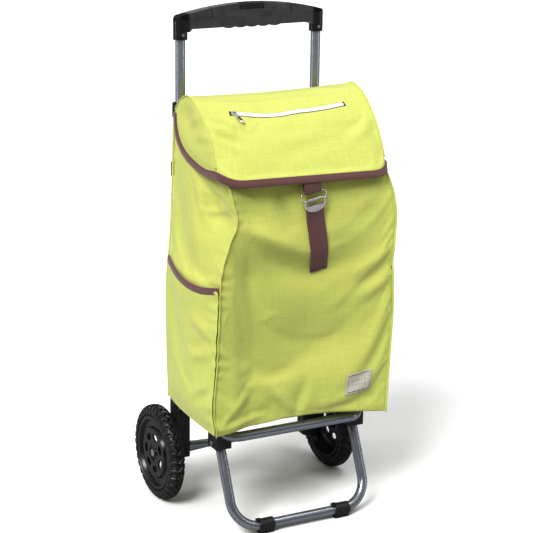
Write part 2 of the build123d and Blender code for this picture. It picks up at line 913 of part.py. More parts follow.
def lid_rear_strip():
    """The strip of the lid between its seam on the bag and the bend, which stays put."""
    end = lid_bend - 0.012
    with BuildPart() as strip:
        with BuildSketch(side_plane()) as section:
            with BuildLine():
                for inset in (0.0, cloth):
                    ThreePointArc(*[inside(lid_rear_line, along, inset) for along in (0, end / 2, end)])
                for along in (0, end):
                    Line(inside(lid_rear_line, along, 0.0), inside(lid_rear_line, along, cloth))
            make_face()
        extrude(section.sketch, amount=lid_half_width, both=True)
    return strip


def lid_lower_line(rise):
    """The sweeping lower edge of the lid's cheek, raised by the rise."""
    heel = (lid_seam_y - 3, lid_seam_z - 6)
    bend = (-86, 664 + rise)
    ThreePointArc(heel, (-40 - rise * 0.7, 688 + rise * 0.7), bend)
    ThreePointArc(bend, (-165, 652 + rise), (lid_edge_y + 2, lid_edge_z + rise))
    return heel, (lid_edge_y + 2, lid_edge_z + rise)


def lid_gusset(side):
    """A cheek that closes one end of the lid."""
    inner = lid_half_width - cloth - 2.2
    with BuildPart() as cheek:
        with BuildSketch(side_plane(side * (inner + cloth / 2))) as outline:
            with BuildLine():
                rear, edge = lid_arcs(cloth + 0.1)
                heel, toe = lid_lower_line(0.0)
                Line(rear, heel)
                Line(edge, toe)
            make_face()
        extrude(outline.sketch, amount=cloth / 2, both=True)
    return cheek


def lid_binding():
    """The tape round the lid's free edge: both cheeks and the front."""
    side_face = lid_half_width + 0.9
    with BuildPart() as tape:
        for side in (-1, 1):
            with BuildSketch(side_plane(side * side_face)) as strip:
                with BuildLine():
                    heel, low_toe = lid_lower_line(0.0)
                    heel, high_toe = lid_lower_line(binding_width)
                    Line(low_toe, high_toe)
                make_face()
            extrude(strip.sketch, amount=0.7, both=True)
        middle = lid_plane(0.97)
        front = Plane(
            origin=middle.origin + middle.z_dir * 0.9, x_dir=middle.x_dir, z_dir=middle.z_dir
        )
        with BuildSketch(front) as strip:
            Rectangle(2 * (side_face + 0.7), binding_width)
        extrude(strip.sketch, amount=0.7, both=True)
    return tape


def zip_tape():
    """The zip in the lid's front slope."""
    with BuildPart() as tape:
        with BuildSketch(zip_plane) as strip:
            with Locations((zip_x, 0)):
                SlotOverall(zip_length, 9.0)
        extrude(strip.sketch, amount=0.9)
    return tape


def zip_slider():
    """The zip's slider with its bail."""
    with BuildPart() as slider:
        with BuildSketch(slider_plane.offset(1.2)) as body:
            RectangleRounded(9.0, 7.0, 2.0)
        extrude(body.sketch, amount=2.2)
        with BuildSketch(slider_plane.offset(3.4)) as bail:
            Rectangle(5.0, 2.0)
        extrude(bail.sketch, amount=1.0)
    return slider


def zip_puller():
    """The pull tab that hangs from the slider's bail."""
    with BuildPart() as puller:
        with BuildSketch(puller_plane.offset(1.3)) as tab:
            with Locations((0, -15.5)):
                RectangleRounded(6.0, 21.0, 2.4)
            with Locations((0, -21.5)):
                RectangleRounded(2.6, 5.0, 1.0, mode=Mode.SUBTRACT)
        extrude(tab.sketch, amount=1.3)
    return puller


zip_plane = lid_plane(0.30)
slider_start = zip_plane.origin + Vector(zip_x - zip_length / 2 + 8, 0, 0)
slider_plane = Plane(origin=slider_start, x_dir=zip_plane.x_dir, z_dir=zip_plane.z_dir)
puller_lean = radians(20)      # the tab hangs across the slope, not straight down it
puller_plane = Plane(
    origin=slider_start,
    x_dir=zip_plane.x_dir * cos(puller_lean) + zip_plane.y_dir * sin(puller_lean),
    z_dir=zip_plane.z_dir,
)


# ----------------------------------------------------------- strap and buckle

def strap_plane(y, x=buckle_x, z=buckle_z):
    """A front-facing plane turned along the leaning strap."""
    lean = radians(strap_lean)
    return Plane(origin=(x, upright_y + y, z), x_dir=(cos(lean), 0, sin(lean)), z_dir=(0, -1, 0))


def strap_strip(face, low, high, thickness=strap_thickness):
    """A flat length of webbing whose front face stands on the strap plane."""
    with BuildSketch(strap_plane(face)) as strip:
        with Locations((0, (low + high) / 2)):
            Rectangle(strap_width, high - low)
    extrude(strip.sketch, amount=-thickness)


def lower_strap():
    """Webbing sewn to the bag, up through the buckle plate and back down."""
    with BuildPart() as strap:
        strap_strip(-237.2, -125, 4.5)
        strap_strip(-239.6, -127, 4.5)
        strap_strip(-239.6, 3.0, 4.5, thickness=3.9)
        strap_strip(-239.6, -127, -123, thickness=3.9)
    return strap


def upper_strap():
    """Webbing sewn inside the lid's edge and folded round the ring's top bar."""
    with BuildPart() as strap:
        strap_strip(-237.9, 21.5, 45.5)
        strap_strip(-243.4, 21.5, 39.5)
        strap_strip(-243.4, 21.5, 22.9, thickness=5.6)
    return strap


def buckle_ring():
    """The wire ring on the upper strap's end."""
    with BuildPart() as ring:
        with BuildSketch(strap_plane(-240.6)) as loop:
            with Locations((0, 17.0)):
                RectangleRounded(52.0, 17.0, 5.0)
                RectangleRounded(47.2, 12.2, 2.6, mode=Mode.SUBTRACT)
        extrude(loop.sketch, amount=1.2, both=True)
    return ring


def hook_plate():
    """The slotted plate whose back-turned lip catches the ring."""
    with BuildPart() as plate:
        with BuildSketch(strap_plane(-242.4)) as face:
            with BuildLine():
                Polyline((-18, 14), (18, 14), (21.8, 10), (21.8, 0), (13, -8.5))
                ThreePointArc((13, -8.5), (0, -12), (-13, -8.5))
                Polyline((-13, -8.5), (-21.8, 0), (-21.8, 10), (-18, 14))
            make_face()
            with Locations((0, 5.0)):
                RectangleRounded(35.0, 10.0, 1.5, mode=Mode.SUBTRACT)
        extrude(face.sketch, amount=1.8)
        with BuildSketch(strap_plane(-242.4)) as lip:
            with Locations((0, 13.0)):
                Rectangle(30.0, 1.6)
        extrude(lip.sketch, amount=-3.8)
    return plate


def label_patch():
    """A plain cloth patch sewn to the front wall."""
    with BuildPart() as patch:
        with BuildSketch(front_plane(bag_front - 0.1)) as face:
            with Locations((110.0, 261.0)):
                RectangleRounded(52.0, 40.0, 1.5)
        extrude(face.sketch, amount=0.9)
    return patch


# -------------------------------------------------------------- write the set

shelf_line = shelf_path()
leg_line = leg_path()
shelf_space = tube_envelope(shelf_line)
leg_space = tube_envelope(leg_line)
shelf_pivot = (upright_y + shelf_pivot_y, shelf_z)
leg_pivot = (upright_y + leg_pivot_y, leg_pivot_z)
plug_top = hub_outer_x + wheel_x

for side in (-1, 1):
    outer_tube = upright_tube(side, outer_tube_r, outer_tube_bottom, outer_tube_top)
    save(outer_tube, side_name("outer_upright", side))
    inner_tube = upright_tube(side, thin_tube_r, inner_tube_bottom, inner_tube_top)
    save(inner_tube, side_name("inner_upright", side))
    save(upright_collar(side), side_name("collar", side))
    save(wheel_bracket(side), side_name("wheel_bracket", side))
    save(leg_clamp(side, shelf_space), side_name("leg_clamp", side))
    save(foot_clip(side, leg_space), side_name("foot_clip", side))
    save(wheel_hub(side), side_name("wheel_hub", side))
    save(wheel_tyre(side), side_name("tyre", side))
    save(inner_plug(side), side_name("inner_plug", side))
    save(bag_side_panel(side), side_name("bag_side_panel", side))
    save(side_pocket(side), side_name("side_pocket", side))
    save(pocket_binding(side), side_name("pocket_binding", side))
    save(lid_gusset(side), side_name("lid_gusset", side))

save(cross_tube(), "cross_tube")
save(lateral_rods([(0, axle_y, wheel_radius)], axle_r, 2 * plug_top), "wheel_axle")
nut_x = plug_top + 2.9
save(
    lateral_rods([(side * nut_x, axle_y, wheel_radius) for side in (-1, 1)], 7.0, 5.0),
    "axle_nuts",
)
save(
    lateral_rods([(side * upright_x, *shelf_pivot) for side in (-1, 1)], pin_r, 33.6, 5.0, 1.6),
    "shelf_pivot_pins",
)
save(
    lateral_rods([(side * upright_x, *leg_pivot) for side in (-1, 1)], pin_r, 33.0, 5.0, 1.8),
    "leg_pivot_pins",
)
save(bent_tube(shelf_line, [shelf_pivot]), "shelf_tube")
save(bent_tube(leg_line, [leg_pivot]), "leg_tube")

save(grip_lower_shell(), "grip_lower_shell")
save(grip_cover(-grip_half_width - 5, -groove_x - 0.7), "grip_cover_left")
save(grip_cover(groove_x + 0.7, grip_half_width + 5), "grip_cover_right")
save(centre_cover(), "grip_cover_centre")
save(grip_screws(), "grip_screws")
save(lock_pins(), "lock_pins")
save(release_button(), "release_button")
save(release_bar(), "release_bar")
save(release_rods(), "release_rods")
save(button_spring(), "button_spring")

save(bag_front_panel(), "bag_front_panel")
save(bag_back_panel(), "bag_back_panel")
save(
    plain_plate(
        (-bag_half_width, bag_half_width), (bag_front, bag_back), (bag_bottom, bag_bottom + cloth), 10
    ),
    "bag_bottom_panel",
)
save(
    plain_plate(
        (-bag_half_width + 8, bag_half_width - 8),
        (bag_front + 8, bag_back - 8),
        (bag_bottom + cloth + 0.2, bag_bottom + cloth + 3.2),
        15,
    ),
    "bottom_board",
)
save(bag_loops(), "bag_loops")
save(label_patch(), "label_patch")
save(lid_panel(), "lid_panel")
save(lid_rear_strip(), "lid_rear_strip")
save(lid_binding(), "lid_binding")
save(zip_tape(), "zip_tape")
save(zip_slider(), "zip_slider")
save(zip_puller(), "zip_puller")
save(lower_strap(), "lower_strap")
save(upper_strap(), "upper_strap")
save(buckle_ring(), "buckle_ring")
save(hook_plate(), "hook_plate")
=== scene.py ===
"""Looks of a folding shopping trolley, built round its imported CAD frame.

Everything is in metres, in the frame of the CAD. Y values are measured from the uprights'
axis, as they are in the design, and at() turns them into the frame's own Y.
"""
import math

import bmesh
import bpy
import numpy as np
from mathutils import Matrix, Vector
from mathutils.bvhtree import BVHTree


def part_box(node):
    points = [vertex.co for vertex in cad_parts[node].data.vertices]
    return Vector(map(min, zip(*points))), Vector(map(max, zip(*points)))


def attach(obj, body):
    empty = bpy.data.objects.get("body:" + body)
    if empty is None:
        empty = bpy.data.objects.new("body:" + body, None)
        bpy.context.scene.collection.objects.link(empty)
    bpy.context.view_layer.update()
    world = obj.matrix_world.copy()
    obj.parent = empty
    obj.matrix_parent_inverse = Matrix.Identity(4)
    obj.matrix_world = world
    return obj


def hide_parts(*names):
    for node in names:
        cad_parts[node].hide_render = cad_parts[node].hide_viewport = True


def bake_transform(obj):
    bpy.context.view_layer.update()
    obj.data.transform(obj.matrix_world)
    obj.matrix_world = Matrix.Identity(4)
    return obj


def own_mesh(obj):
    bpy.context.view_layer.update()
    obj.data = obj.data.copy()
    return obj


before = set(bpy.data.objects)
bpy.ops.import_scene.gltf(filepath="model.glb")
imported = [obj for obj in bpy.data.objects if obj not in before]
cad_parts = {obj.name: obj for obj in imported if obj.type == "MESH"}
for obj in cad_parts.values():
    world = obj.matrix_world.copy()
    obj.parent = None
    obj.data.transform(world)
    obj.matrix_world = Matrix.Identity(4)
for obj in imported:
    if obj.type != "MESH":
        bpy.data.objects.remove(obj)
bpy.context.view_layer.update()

SIDES = (("left", -1), ("right", 1))


def middle(node):
    low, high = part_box(node)
    return (low + high) / 2


UPRIGHT_Y = middle("outer_upright_left").y
UPRIGHT_X = middle("outer_upright_right").x


def at(x, y, z):
    """Points in the frame, from Y measured from the uprights."""
    x, y, z = np.broadcast_arrays(np.asarray(x, float), np.asarray(y, float), np.asarray(z, float))
    return np.stack([x, y + UPRIGHT_Y, z], axis=-1)


# ------------------------------------------------------------------ shape tools

def ease(low, high, value):
    """0 below low, 1 above high, smooth between."""
    t = np.clip((np.asarray(value, float) - low) / (high - low), 0, 1)
    return t * t * (3 - 2 * t)


def hump(value, centre, width):
    """A round bump, 1 high at its centre."""
    return np.exp(-(((value - centre) / width) ** 2))


def through(points, value):
    """A smooth curve through a few (place, height) points."""
    places = np.array([p[0] for p in points])
    heights = np.array([p[1] for p in points])
    slopes = np.gradient(heights, places)
    value = np.clip(value, places[0], places[-1])
    i = np.clip(np.searchsorted(places, value) - 1, 0, len(places) - 2)
    span = places[i + 1] - places[i]
    t = (value - places[i]) / span
    return (
        heights[i] * (1 + 2 * t) * (1 - t) ** 2
        + slopes[i] * span * t * (1 - t) ** 2
        + heights[i + 1] * t * t * (3 - 2 * t)
        + slopes[i + 1] * span * t * t * (t - 1)
    )


def fold(across, up, start, end, width, depth, sided=0.0):
    """A soft ridge (or, with a negative depth, a valley) from start to end on a panel.

    sided turns it into a step: a ridge on one side and a valley on the other.
    """
    run = np.array(end) - np.array(start)
    length = np.hypot(*run)
    along = ((across - start[0]) * run[0] + (up - start[1]) * run[1]) / length
    off = ((up - start[1]) * run[0] - (across - start[0]) * run[1]) / length
    share = np.clip(along / length, 0, 1)
    past = np.maximum(np.maximum(-along, along - length), 0)
    taper = np.sin(math.pi * np.clip(share, 0.04, 0.96)) ** 0.6 * np.exp(-((past / width) ** 2))
    shape = np.exp(-((off / width) ** 2))
    return depth * taper * shape * ((1 - abs(sided)) + sided * 1.8 * off / width)


def unit(vectors):
    """The same directions with length 1."""
    return vectors / np.maximum(np.linalg.norm(vectors, axis=-1, keepdims=True), 1e-12)


def lengths_along(points):
    """Distance along a line of points, starting at 0."""
    steps = np.linalg.norm(np.diff(points, axis=0), axis=1)
    return np.concatenate([[0.0], np.cumsum(steps)])


def resampled(points, spacing):
    """The same line with its points evenly spaced."""
    along = lengths_along(points)
    count = max(2, int(round(along[-1] / spacing)) + 1)
    places = np.linspace(0, along[-1], count)
    return np.stack([np.interp(places, along, points[:, k]) for k in range(3)], axis=1)


def smoothed(points, passes):
    """A line with its kinks averaged away, its two ends kept."""
    points = points.copy()
    for _ in range(passes):
        points[1:-1] = (points[:-2] + 2 * points[1:-1] + points[2:]) / 4
    return points


def new_piece(name, points, faces, material, uv=None):
    """A mesh piece, smooth shaded, with one UV point for each vertex, in metres."""
    mesh = bpy.data.meshes.new(name)
    mesh.from_pydata([tuple(p) for p in np.asarray(points, float)], [], faces)
    mesh.update()
    mesh.shade_smooth()
    if uv is not None:
        corner = np.zeros(len(mesh.loops), np.int32)
        mesh.loops.foreach_get("vertex_index", corner)
        layer = mesh.uv_layers.new(name="cloth")
        layer.data.foreach_set("uv", np.asarray(uv, np.float32)[corner].ravel())
    piece = bpy.data.objects.new(name, mesh)
    bpy.context.scene.collection.objects.link(piece)
    if material:
        mesh.materials.append(material)
    return piece


def grid_faces(rows, columns, wrap_rows=False, wrap_columns=False, first=0):
    """The faces of a grid of vertices, numbered row by row from first."""
    faces = []
    for r in range(rows if wrap_rows else rows - 1):
        for c in range(columns if wrap_columns else columns - 1):
            row, below = first + r * columns, first + (r + 1) % rows * columns
            beside = (c + 1) % columns
            faces.append((row + c, row + beside, below + beside, below + c))
    return faces


def grid_uv(points):
    """Flat cloth coordinates of a grid: the length along its middle row and middle column."""
    rows, columns = points.shape[:2]
    across = lengths_along(points[rows // 2])
    up = lengths_along(points[:, columns // 2])
    return np.stack(np.meshgrid(across, up), axis=-1).reshape(-1, 2)


def grid_piece(name, points, material, turned=False):
    """A sheet from a grid of points; turned makes it face the other way."""
    rows, columns = points.shape[:2]
    faces = grid_faces(rows, columns)
    if turned:
        faces = [tuple(reversed(face)) for face in faces]
    return new_piece(name, points.reshape(-1, 3), faces, material, grid_uv(points))


def facing_out(piece):
    """Turns all the faces of a closed piece outward."""
    work = bmesh.new()
    work.from_mesh(piece.data)
    bmesh.ops.recalc_face_normals(work, faces=work.faces)
    work.to_mesh(piece.data)
    work.free()
    return piece


def modify(piece, kind, **settings):
    modifier = piece.modifiers.new(kind.lower(), kind)
    for key, value in settings.items():
        setattr(modifier, key, value)
    return modifier


def apply_modifiers(piece):
    """Replaces the piece's mesh by the one its modifiers make."""
    graph = bpy.context.evaluated_depsgraph_get()
    mesh = bpy.data.meshes.new_from_object(piece.evaluated_get(graph), depsgraph=graph)
    piece.modifiers.clear()
    piece.data = mesh
    mesh.shade_smooth()


def sweep(name, path, normals, section, material, closed=False):
    """A strip or bar: a closed section of (across, out) points carried along a path.

    Its across direction is the path's direction crossed with the normals.
    """
    tangent = unit(np.gradient(path, axis=0))
    if closed:
        tangent = unit(np.roll(path, -1, axis=0) - np.roll(path, 1, axis=0))
    side = unit(np.cross(tangent, normals))
    out = np.cross(side, tangent)
    section = np.array(section)
    points = path[:, None] + side[:, None] * section[None, :, :1] + out[:, None] * section[None, :, 1:]
    rows, columns = points.shape[:2]
    faces = grid_faces(rows, columns, wrap_rows=closed, wrap_columns=True)
    if not closed:
        faces.append(tuple(range(columns)))
        faces.append(tuple(reversed(range((rows - 1) * columns, rows * columns))))
    along = lengths_along(path)
    uv = np.stack([np.repeat(along, columns), np.tile(section[:, 0], rows)], axis=-1)
    return facing_out(new_piece(name, points.reshape(-1, 3), faces, material, uv))


def tape_section(inner, outer, thickness, lift=0.0, edge=0.0005):
    """A flat strip's section between two distances across the path, with soft edges."""
    low, high = lift, lift + thickness
    return [
        (inner, low + edge),
        (inner, high - edge),
        (inner + edge, high),
        ((inner + outer) / 2, high + edge * 0.3),
        (outer - edge, high),
        (outer, high - edge),
        (outer, low + edge),
        (outer - edge, low),
        (inner + edge, low),
    ]


def round_section(radius, sides=10, flat=1.0):
    """A round section, flattened or raised by flat."""
    turns = [2 * math.pi * k / sides for k in range(sides)]
    return [(radius * math.cos(t), -radius * flat * math.sin(t)) for t in turns]


def stitches(name, path, normals, material, pitch=0.0034, share=0.62, radius=0.00032, lift=0.0001):
    """A row of thread stitches lying on a surface."""
    line = resampled(path, pitch / 6)
    places = lengths_along(path)
    fine = lengths_along(line)
    out = unit(np.stack([np.interp(fine, places, normals[:, k]) for k in range(3)], axis=1))
    points, faces = [], []
    ring = round_section(radius, 6)
    for start in range(0, len(line) - 6, 6):
        stop = start + max(2, round(6 * share))
        a, b = line[start], line[stop]
        along = unit(b - a)
        side = np.cross(along, out[start])
        for share_along, size, drop in ((0, 0.3, -0.6), (0.15, 1, 0), (0.85, 1, 0), (1, 0.3, -0.6)):
            centre = a + (b - a) * share_along + out[start] * (lift + drop * radius)
            points += [centre + side * (x * size) + out[start] * (y * size) for x, y in ring]
        first = len(points) - 4 * len(ring)
        faces += grid_faces(4, len(ring), wrap_columns=True, first=first)
        faces.append(tuple(range(first, first + len(ring))))
        faces.append(tuple(reversed(range(first + 3 * len(ring), first + 4 * len(ring)))))
    return new_piece(name, points, faces, material)


def bar_outline(corners, radius, steps=5):
    """A closed loop of points round a polygon in the plane, with rounded corners."""
    loop = []
    count = len(corners)
    for k, corner in enumerate(corners):
        corner = np.array(corner, float)
        before = unit(np.array(corners[k - 1], float) - corner)
        after = unit(np.array(corners[(k + 1) % count], float) - corner)
        for step in range(steps + 1):
            t = step / steps
            start, end = corner + before * radius, corner + after * radius
            loop.append((1 - t) ** 2 * start + 2 * t * (1 - t) * corner + t * t * end)
    return np.array(loop)


def rectangle(left, low, right, high, radius):
    """A closed loop round a rectangle with rounded corners."""
    return bar_outline([(left, low), (right, low), (right, high), (left, high)], radius)


def facing_front(count):
    """That many normals, all facing the front."""
    return np.tile(np.array([0.0, -1.0, 0.0]), (count, 1))


# -------------------------------------------------------------------- materials

def start_material(name, colour, roughness, metallic=0.0, **extra):
    """A material with its node tree and its shader, ready for more nodes."""
    material = bpy.data.materials.new(name)
    material.use_nodes = True
    tree = material.node_tree
    shader = tree.nodes["Principled BSDF"]
    shader.inputs["Base Color"].default_value = (*colour, 1)
    shader.inputs["Roughness"].default_value = roughness
    shader.inputs["Metallic"].default_value = metallic
    for key, value in extra.items():
        shader.inputs[key.replace("_", " ")].default_value = value
    return material, tree, shader


def node(tree, kind, inputs=None, **settings):
    """A new shader node, with inputs given as values or as other nodes' outputs."""
    made = tree.nodes.new(kind)
    for key, value in settings.items():
        setattr(made, key, value)
    for key, value in (inputs or {}).items():
        if isinstance(value, bpy.types.NodeSocket):
            tree.links.new(value, made.inputs[key])
        else:
            made.inputs[key].default_value = value
    return made


def coordinates(tree, use_uv, scale=(1, 1, 1)):
    source = node(tree, "ShaderNodeTexCoord")
    where = source.outputs["UV" if use_uv else "Object"]
    return node(tree, "ShaderNodeMapping", {"Vector": where, "Scale": scale}).outputs["Vector"]


def noise_of(tree, where, scale, detail=3.0, roughness=0.55):
    inputs = {"Vector": where, "Scale": scale, "Detail": detail, "Roughness": roughness}
    return node(tree, "ShaderNodeTexNoise", inputs).outputs["Fac"]


def ridges(tree, where, pitch, direction, profile="SIN"):
    """Bands of the given pitch in metres, across the X or the Y direction."""
    made = node(
        tree,
        "ShaderNodeTexWave",
        {"Vector": where, "Scale": 2 * math.pi / (20 * pitch), "Distortion": 0.0},
        wave_type="BANDS",
        bands_direction=direction,
        wave_profile=profile,
    )
    return made.outputs["Fac"]


def spread_of(tree, value, low, high, from_low=0.0, from_high=1.0):
    """A value spread from one range to another, and held at its ends."""
    ends = {"From Min": from_low, "From Max": from_high, "To Min": low, "To Max": high}
    return node(tree, "ShaderNodeMapRange", {"Value": value, **ends}).outputs["Result"]


def combine(tree, operation, a, b):
    return node(tree, "ShaderNodeMath", {0: a, 1: b}, operation=operation).outputs[0]


def colour_between(tree, factor, dark, light):
    """A mix of two colours, each given as numbers or as another node's output."""
    ends = [c if isinstance(c, bpy.types.NodeSocket) else (*c, 1) for c in (dark, light)]
    made = node(
        tree, "ShaderNodeMix", {"Factor": factor, "A": ends[0], "B": ends[1]}, data_type="RGBA"
    )
    return made.outputs["Result"]


def bump_from(tree, shader, height, distance, strength=1.0):
    made = node(
        tree, "ShaderNodeBump", {"Height": height, "Distance": distance, "Strength": strength}
    )
    tree.links.new(made.outputs["Normal"], shader.inputs["Normal"])


def woven(name, colour, pitch, roughness=0.72, sheen=0.25, slub=0.10, depth=0.00009):
    """Plain-woven cloth: threads both ways, uneven along their length, with a soft sheen."""
    material, tree, shader = start_material(
        name, colour, roughness, Sheen_Weight=sheen, Sheen_Roughness=0.45, Specular_IOR_Level=0.32
    )
    where = coordinates(tree, True)
    warp = ridges(tree, where, pitch, "X")
    weft = ridges(tree, where, pitch, "Y")
    threads = combine(tree, "MULTIPLY", warp, weft)
    long_warp = noise_of(tree, coordinates(tree, True, (1 / pitch / 2.2, 24, 1)), 1.0, 2.0)
    long_weft = noise_of(tree, coordinates(tree, True, (24, 1 / pitch / 2.2, 1)), 1.0, 2.0)
    slubs = combine(tree, "ADD", long_warp, long_weft)
    tone = combine(
        tree,
        "ADD",
        spread_of(tree, slubs, -1.6 * slub, 1.6 * slub, 0.55, 1.45),
        spread_of(tree, threads, -slub * 0.8, slub * 0.6),
    )
    wear = noise_of(tree, coordinates(tree, False), 9.0, 4.0)
    tone = combine(tree, "ADD", tone, spread_of(tree, wear, -0.05, 0.05, 0.35, 0.65))
    dark = tuple(c * 0.70 for c in colour)
    light = tuple(min(1.0, c * 1.10 + 0.004) for c in colour)
    mixed = colour_between(tree, spread_of(tree, tone, 0.15, 1.35, -0.5, 0.5), dark, light)
    tree.links.new(mixed, shader.inputs["Base Color"])
    shine = spread_of(tree, slubs, roughness + 0.08, roughness - 0.1, 0.6, 1.4)
    tree.links.new(shine, shader.inputs["Roughness"])
    height = combine(tree, "ADD", threads, spread_of(tree, slubs, 0.0, 0.8, 0.6, 1.4))
    bump_from(tree, shader, height, depth)
    return material


def webbing(name, colour, rib=0.0021, line=0.0016):
    """Ribbed webbing or binding tape, with lengthwise lines and short cross ribs."""
    material, tree, shader = start_material(
        name, colour, 0.78, Sheen_Weight=0.35, Sheen_Roughness=0.5, Specular_IOR_Level=0.25
    )
    where = coordinates(tree, True)
    ribs = ridges(tree, where, rib, "X")
    lines = ridges(tree, where, line, "Y")
    threads = combine(tree, "MULTIPLY", ribs, lines)
    fuzz = noise_of(tree, coordinates(tree, True, (900, 900, 1)), 1.0, 2.0)
    tone = combine(
        tree, "ADD", spread_of(tree, threads, 0.1, 0.8), spread_of(tree, fuzz, -0.2, 0.3, 0.3, 0.7)
    )
    dark = tuple(c * 0.55 for c in colour)
    light = tuple(min(1.0, c * 1.25 + 0.01) for c in colour)
    tree.links.new(colour_between(tree, tone, dark, light), shader.inputs["Base Color"])
    bump_from(tree, shader, combine(tree, "ADD", threads, fuzz), 0.00016)
    return material


def painted_tube(name, colour):
    """Metallic paint on steel: fine flake and a few handling marks."""
    material, tree, shader = start_material(
        name, colour, 0.26, 0.75, Coat_Weight=0.35, Coat_Roughness=0.12
    )
    where = coordinates(tree, False)
    flake = node(tree, "ShaderNodeTexVoronoi", {"Vector": where, "Scale": 1800.0}).outputs["Color"]
    sparkle = node(tree, "ShaderNodeSeparateColor", {"Color": flake}).outputs["Red"]
    marks = noise_of(tree, where, 28.0, 5.0, 0.6)
    handled = spread_of(tree, marks, -0.1, 0.1, 0.35, 0.65)
    tone = combine(tree, "ADD", spread_of(tree, sparkle, 0.40, 0.60), handled)
    dark = tuple(c * 0.86 for c in colour)
    light = tuple(min(1.0, c * 1.14) for c in colour)
    tree.links.new(colour_between(tree, tone, dark, light), shader.inputs["Base Color"])
    tree.links.new(spread_of(tree, marks, 0.23, 0.28, 0.35, 0.65), shader.inputs["Roughness"])
    bump_from(tree, shader, sparkle, 0.000004, 0.3)
    return material


def moulded(name, colour, roughness, grain=0.00005, grain_size=1400.0, **extra):
    """Moulded plastic with a fine grain and slight rubbing marks."""
    material, tree, shader = start_material(name, colour, roughness, **extra)
    where = coordinates(tree, False)
    cells = node(tree, "ShaderNodeTexVoronoi", {"Vector": where, "Scale": grain_size}).outputs["Distance"]
    rub = noise_of(tree, where, 55.0, 5.0, 0.65)
    tone = spread_of(tree, rub, 0.0, 1.0, 0.3, 0.7)
    light = tuple(c * 1.7 + 0.004 for c in colour)
    tree.links.new(colour_between(tree, tone, colour, light), shader.inputs["Base Color"])
    tree.links.new(
        spread_of(tree, rub, roughness - 0.07, roughness + 0.1, 0.3, 0.7), shader.inputs["Roughness"]
    )
    bump_from(tree, shader, combine(tree, "ADD", cells, spread_of(tree, rub, 0.0, 0.5)), grain)
    return material


def grip_plastic(name):
    """Satin black plastic with random rubbing marks, painted lighter on its upward faces as a painted
    highlight, that turns to gloss at the handle's two elbows.
    """
    material, tree, shader = start_material(name, (0.04, 0.04, 0.042), 0.36)
    where = coordinates(tree, False)
    across = node(tree, "ShaderNodeSeparateXYZ", {"Vector": where}).outputs["X"]
    elbow = spread_of(tree, combine(tree, "ABSOLUTE", across, 0.0), 0.0, 1.0, 0.122, 0.129)
    rub = noise_of(tree, where, 60.0, 5.0, 0.65)
    grain = node(tree, "ShaderNodeTexVoronoi", {"Vector": where, "Scale": 1500.0}).outputs["Distance"]
    wear = spread_of(tree, rub, 0, 1, 0.3, 0.7)
    worn = colour_between(tree, wear, (0.045, 0.045, 0.047), (0.075, 0.075, 0.078))
    # painted highlight: faces that point up are painted lighter, standing in for the light from above on
    # the bevels
    facing = node(tree, "ShaderNodeNewGeometry").outputs["Normal"]
    upward = node(tree, "ShaderNodeSeparateXYZ", {"Vector": facing}).outputs["Z"]
    painted_top_highlight = spread_of(tree, upward, 0.0, 1.0, 0.30, 0.75)
    wear_and_top_highlight = colour_between(tree, painted_top_highlight, worn, (0.150, 0.150, 0.154))
    tree.links.new(colour_between(tree, elbow, wear_and_top_highlight, (0.010, 0.010, 0.011)), shader.inputs["Base Color"])
    satin = spread_of(tree, rub, 0.30, 0.46, 0.3, 0.7)
    gloss = spread_of(tree, elbow, 0.0, 0.16)
    tree.links.new(combine(tree, "SUBTRACT", satin, gloss), shader.inputs["Roughness"])
    smooth = spread_of(tree, elbow, 1.0, 0.15)
    bump_from(tree, shader, combine(tree, "MULTIPLY", grain, smooth), 0.00005)
    return material


def bright_metal(name, colour, roughness, scratch=0.000012, **extra):
    """Plated or polished metal with hairline scratches."""
    material, tree, shader = start_material(name, colour, roughness, 1.0, **extra)
    hairs = noise_of(tree, coordinates(tree, False, (2600, 300, 300)), 1.0, 3.0, 0.7)
    stain = noise_of(tree, coordinates(tree, False), 120.0, 4.0)
    tone = spread_of(tree, stain, 0.0, 1.0, 0.3, 0.7)
    stained = colour_between(tree, tone, tuple(c * 0.82 for c in colour), colour)
    tree.links.new(stained, shader.inputs["Base Color"])
    shine = spread_of(tree, hairs, roughness * 0.7, roughness * 1.6 + 0.03, 0.3, 0.7)
    tree.links.new(shine, shader.inputs["Roughness"])
    bump_from(tree, shader, hairs, scratch)
    return material


def label_cloth(name):
    """Cream cloth in a plain weave."""
    material, tree, shader = start_material(name, (0.72, 0.68, 0.54), 0.8, Sheen_Weight=0.2)
    where = coordinates(tree, True)
    warp, weft = ridges(tree, where, 0.0008, "X"), ridges(tree, where, 0.0008, "Y")
    threads = combine(tree, "MULTIPLY", warp, weft)
    cream = colour_between(tree, threads, (0.52, 0.50, 0.42), (0.70, 0.68, 0.60))
    tree.links.new(cream, shader.inputs["Base Color"])
    bump_from(tree, shader, threads, 0.00012)
    return material


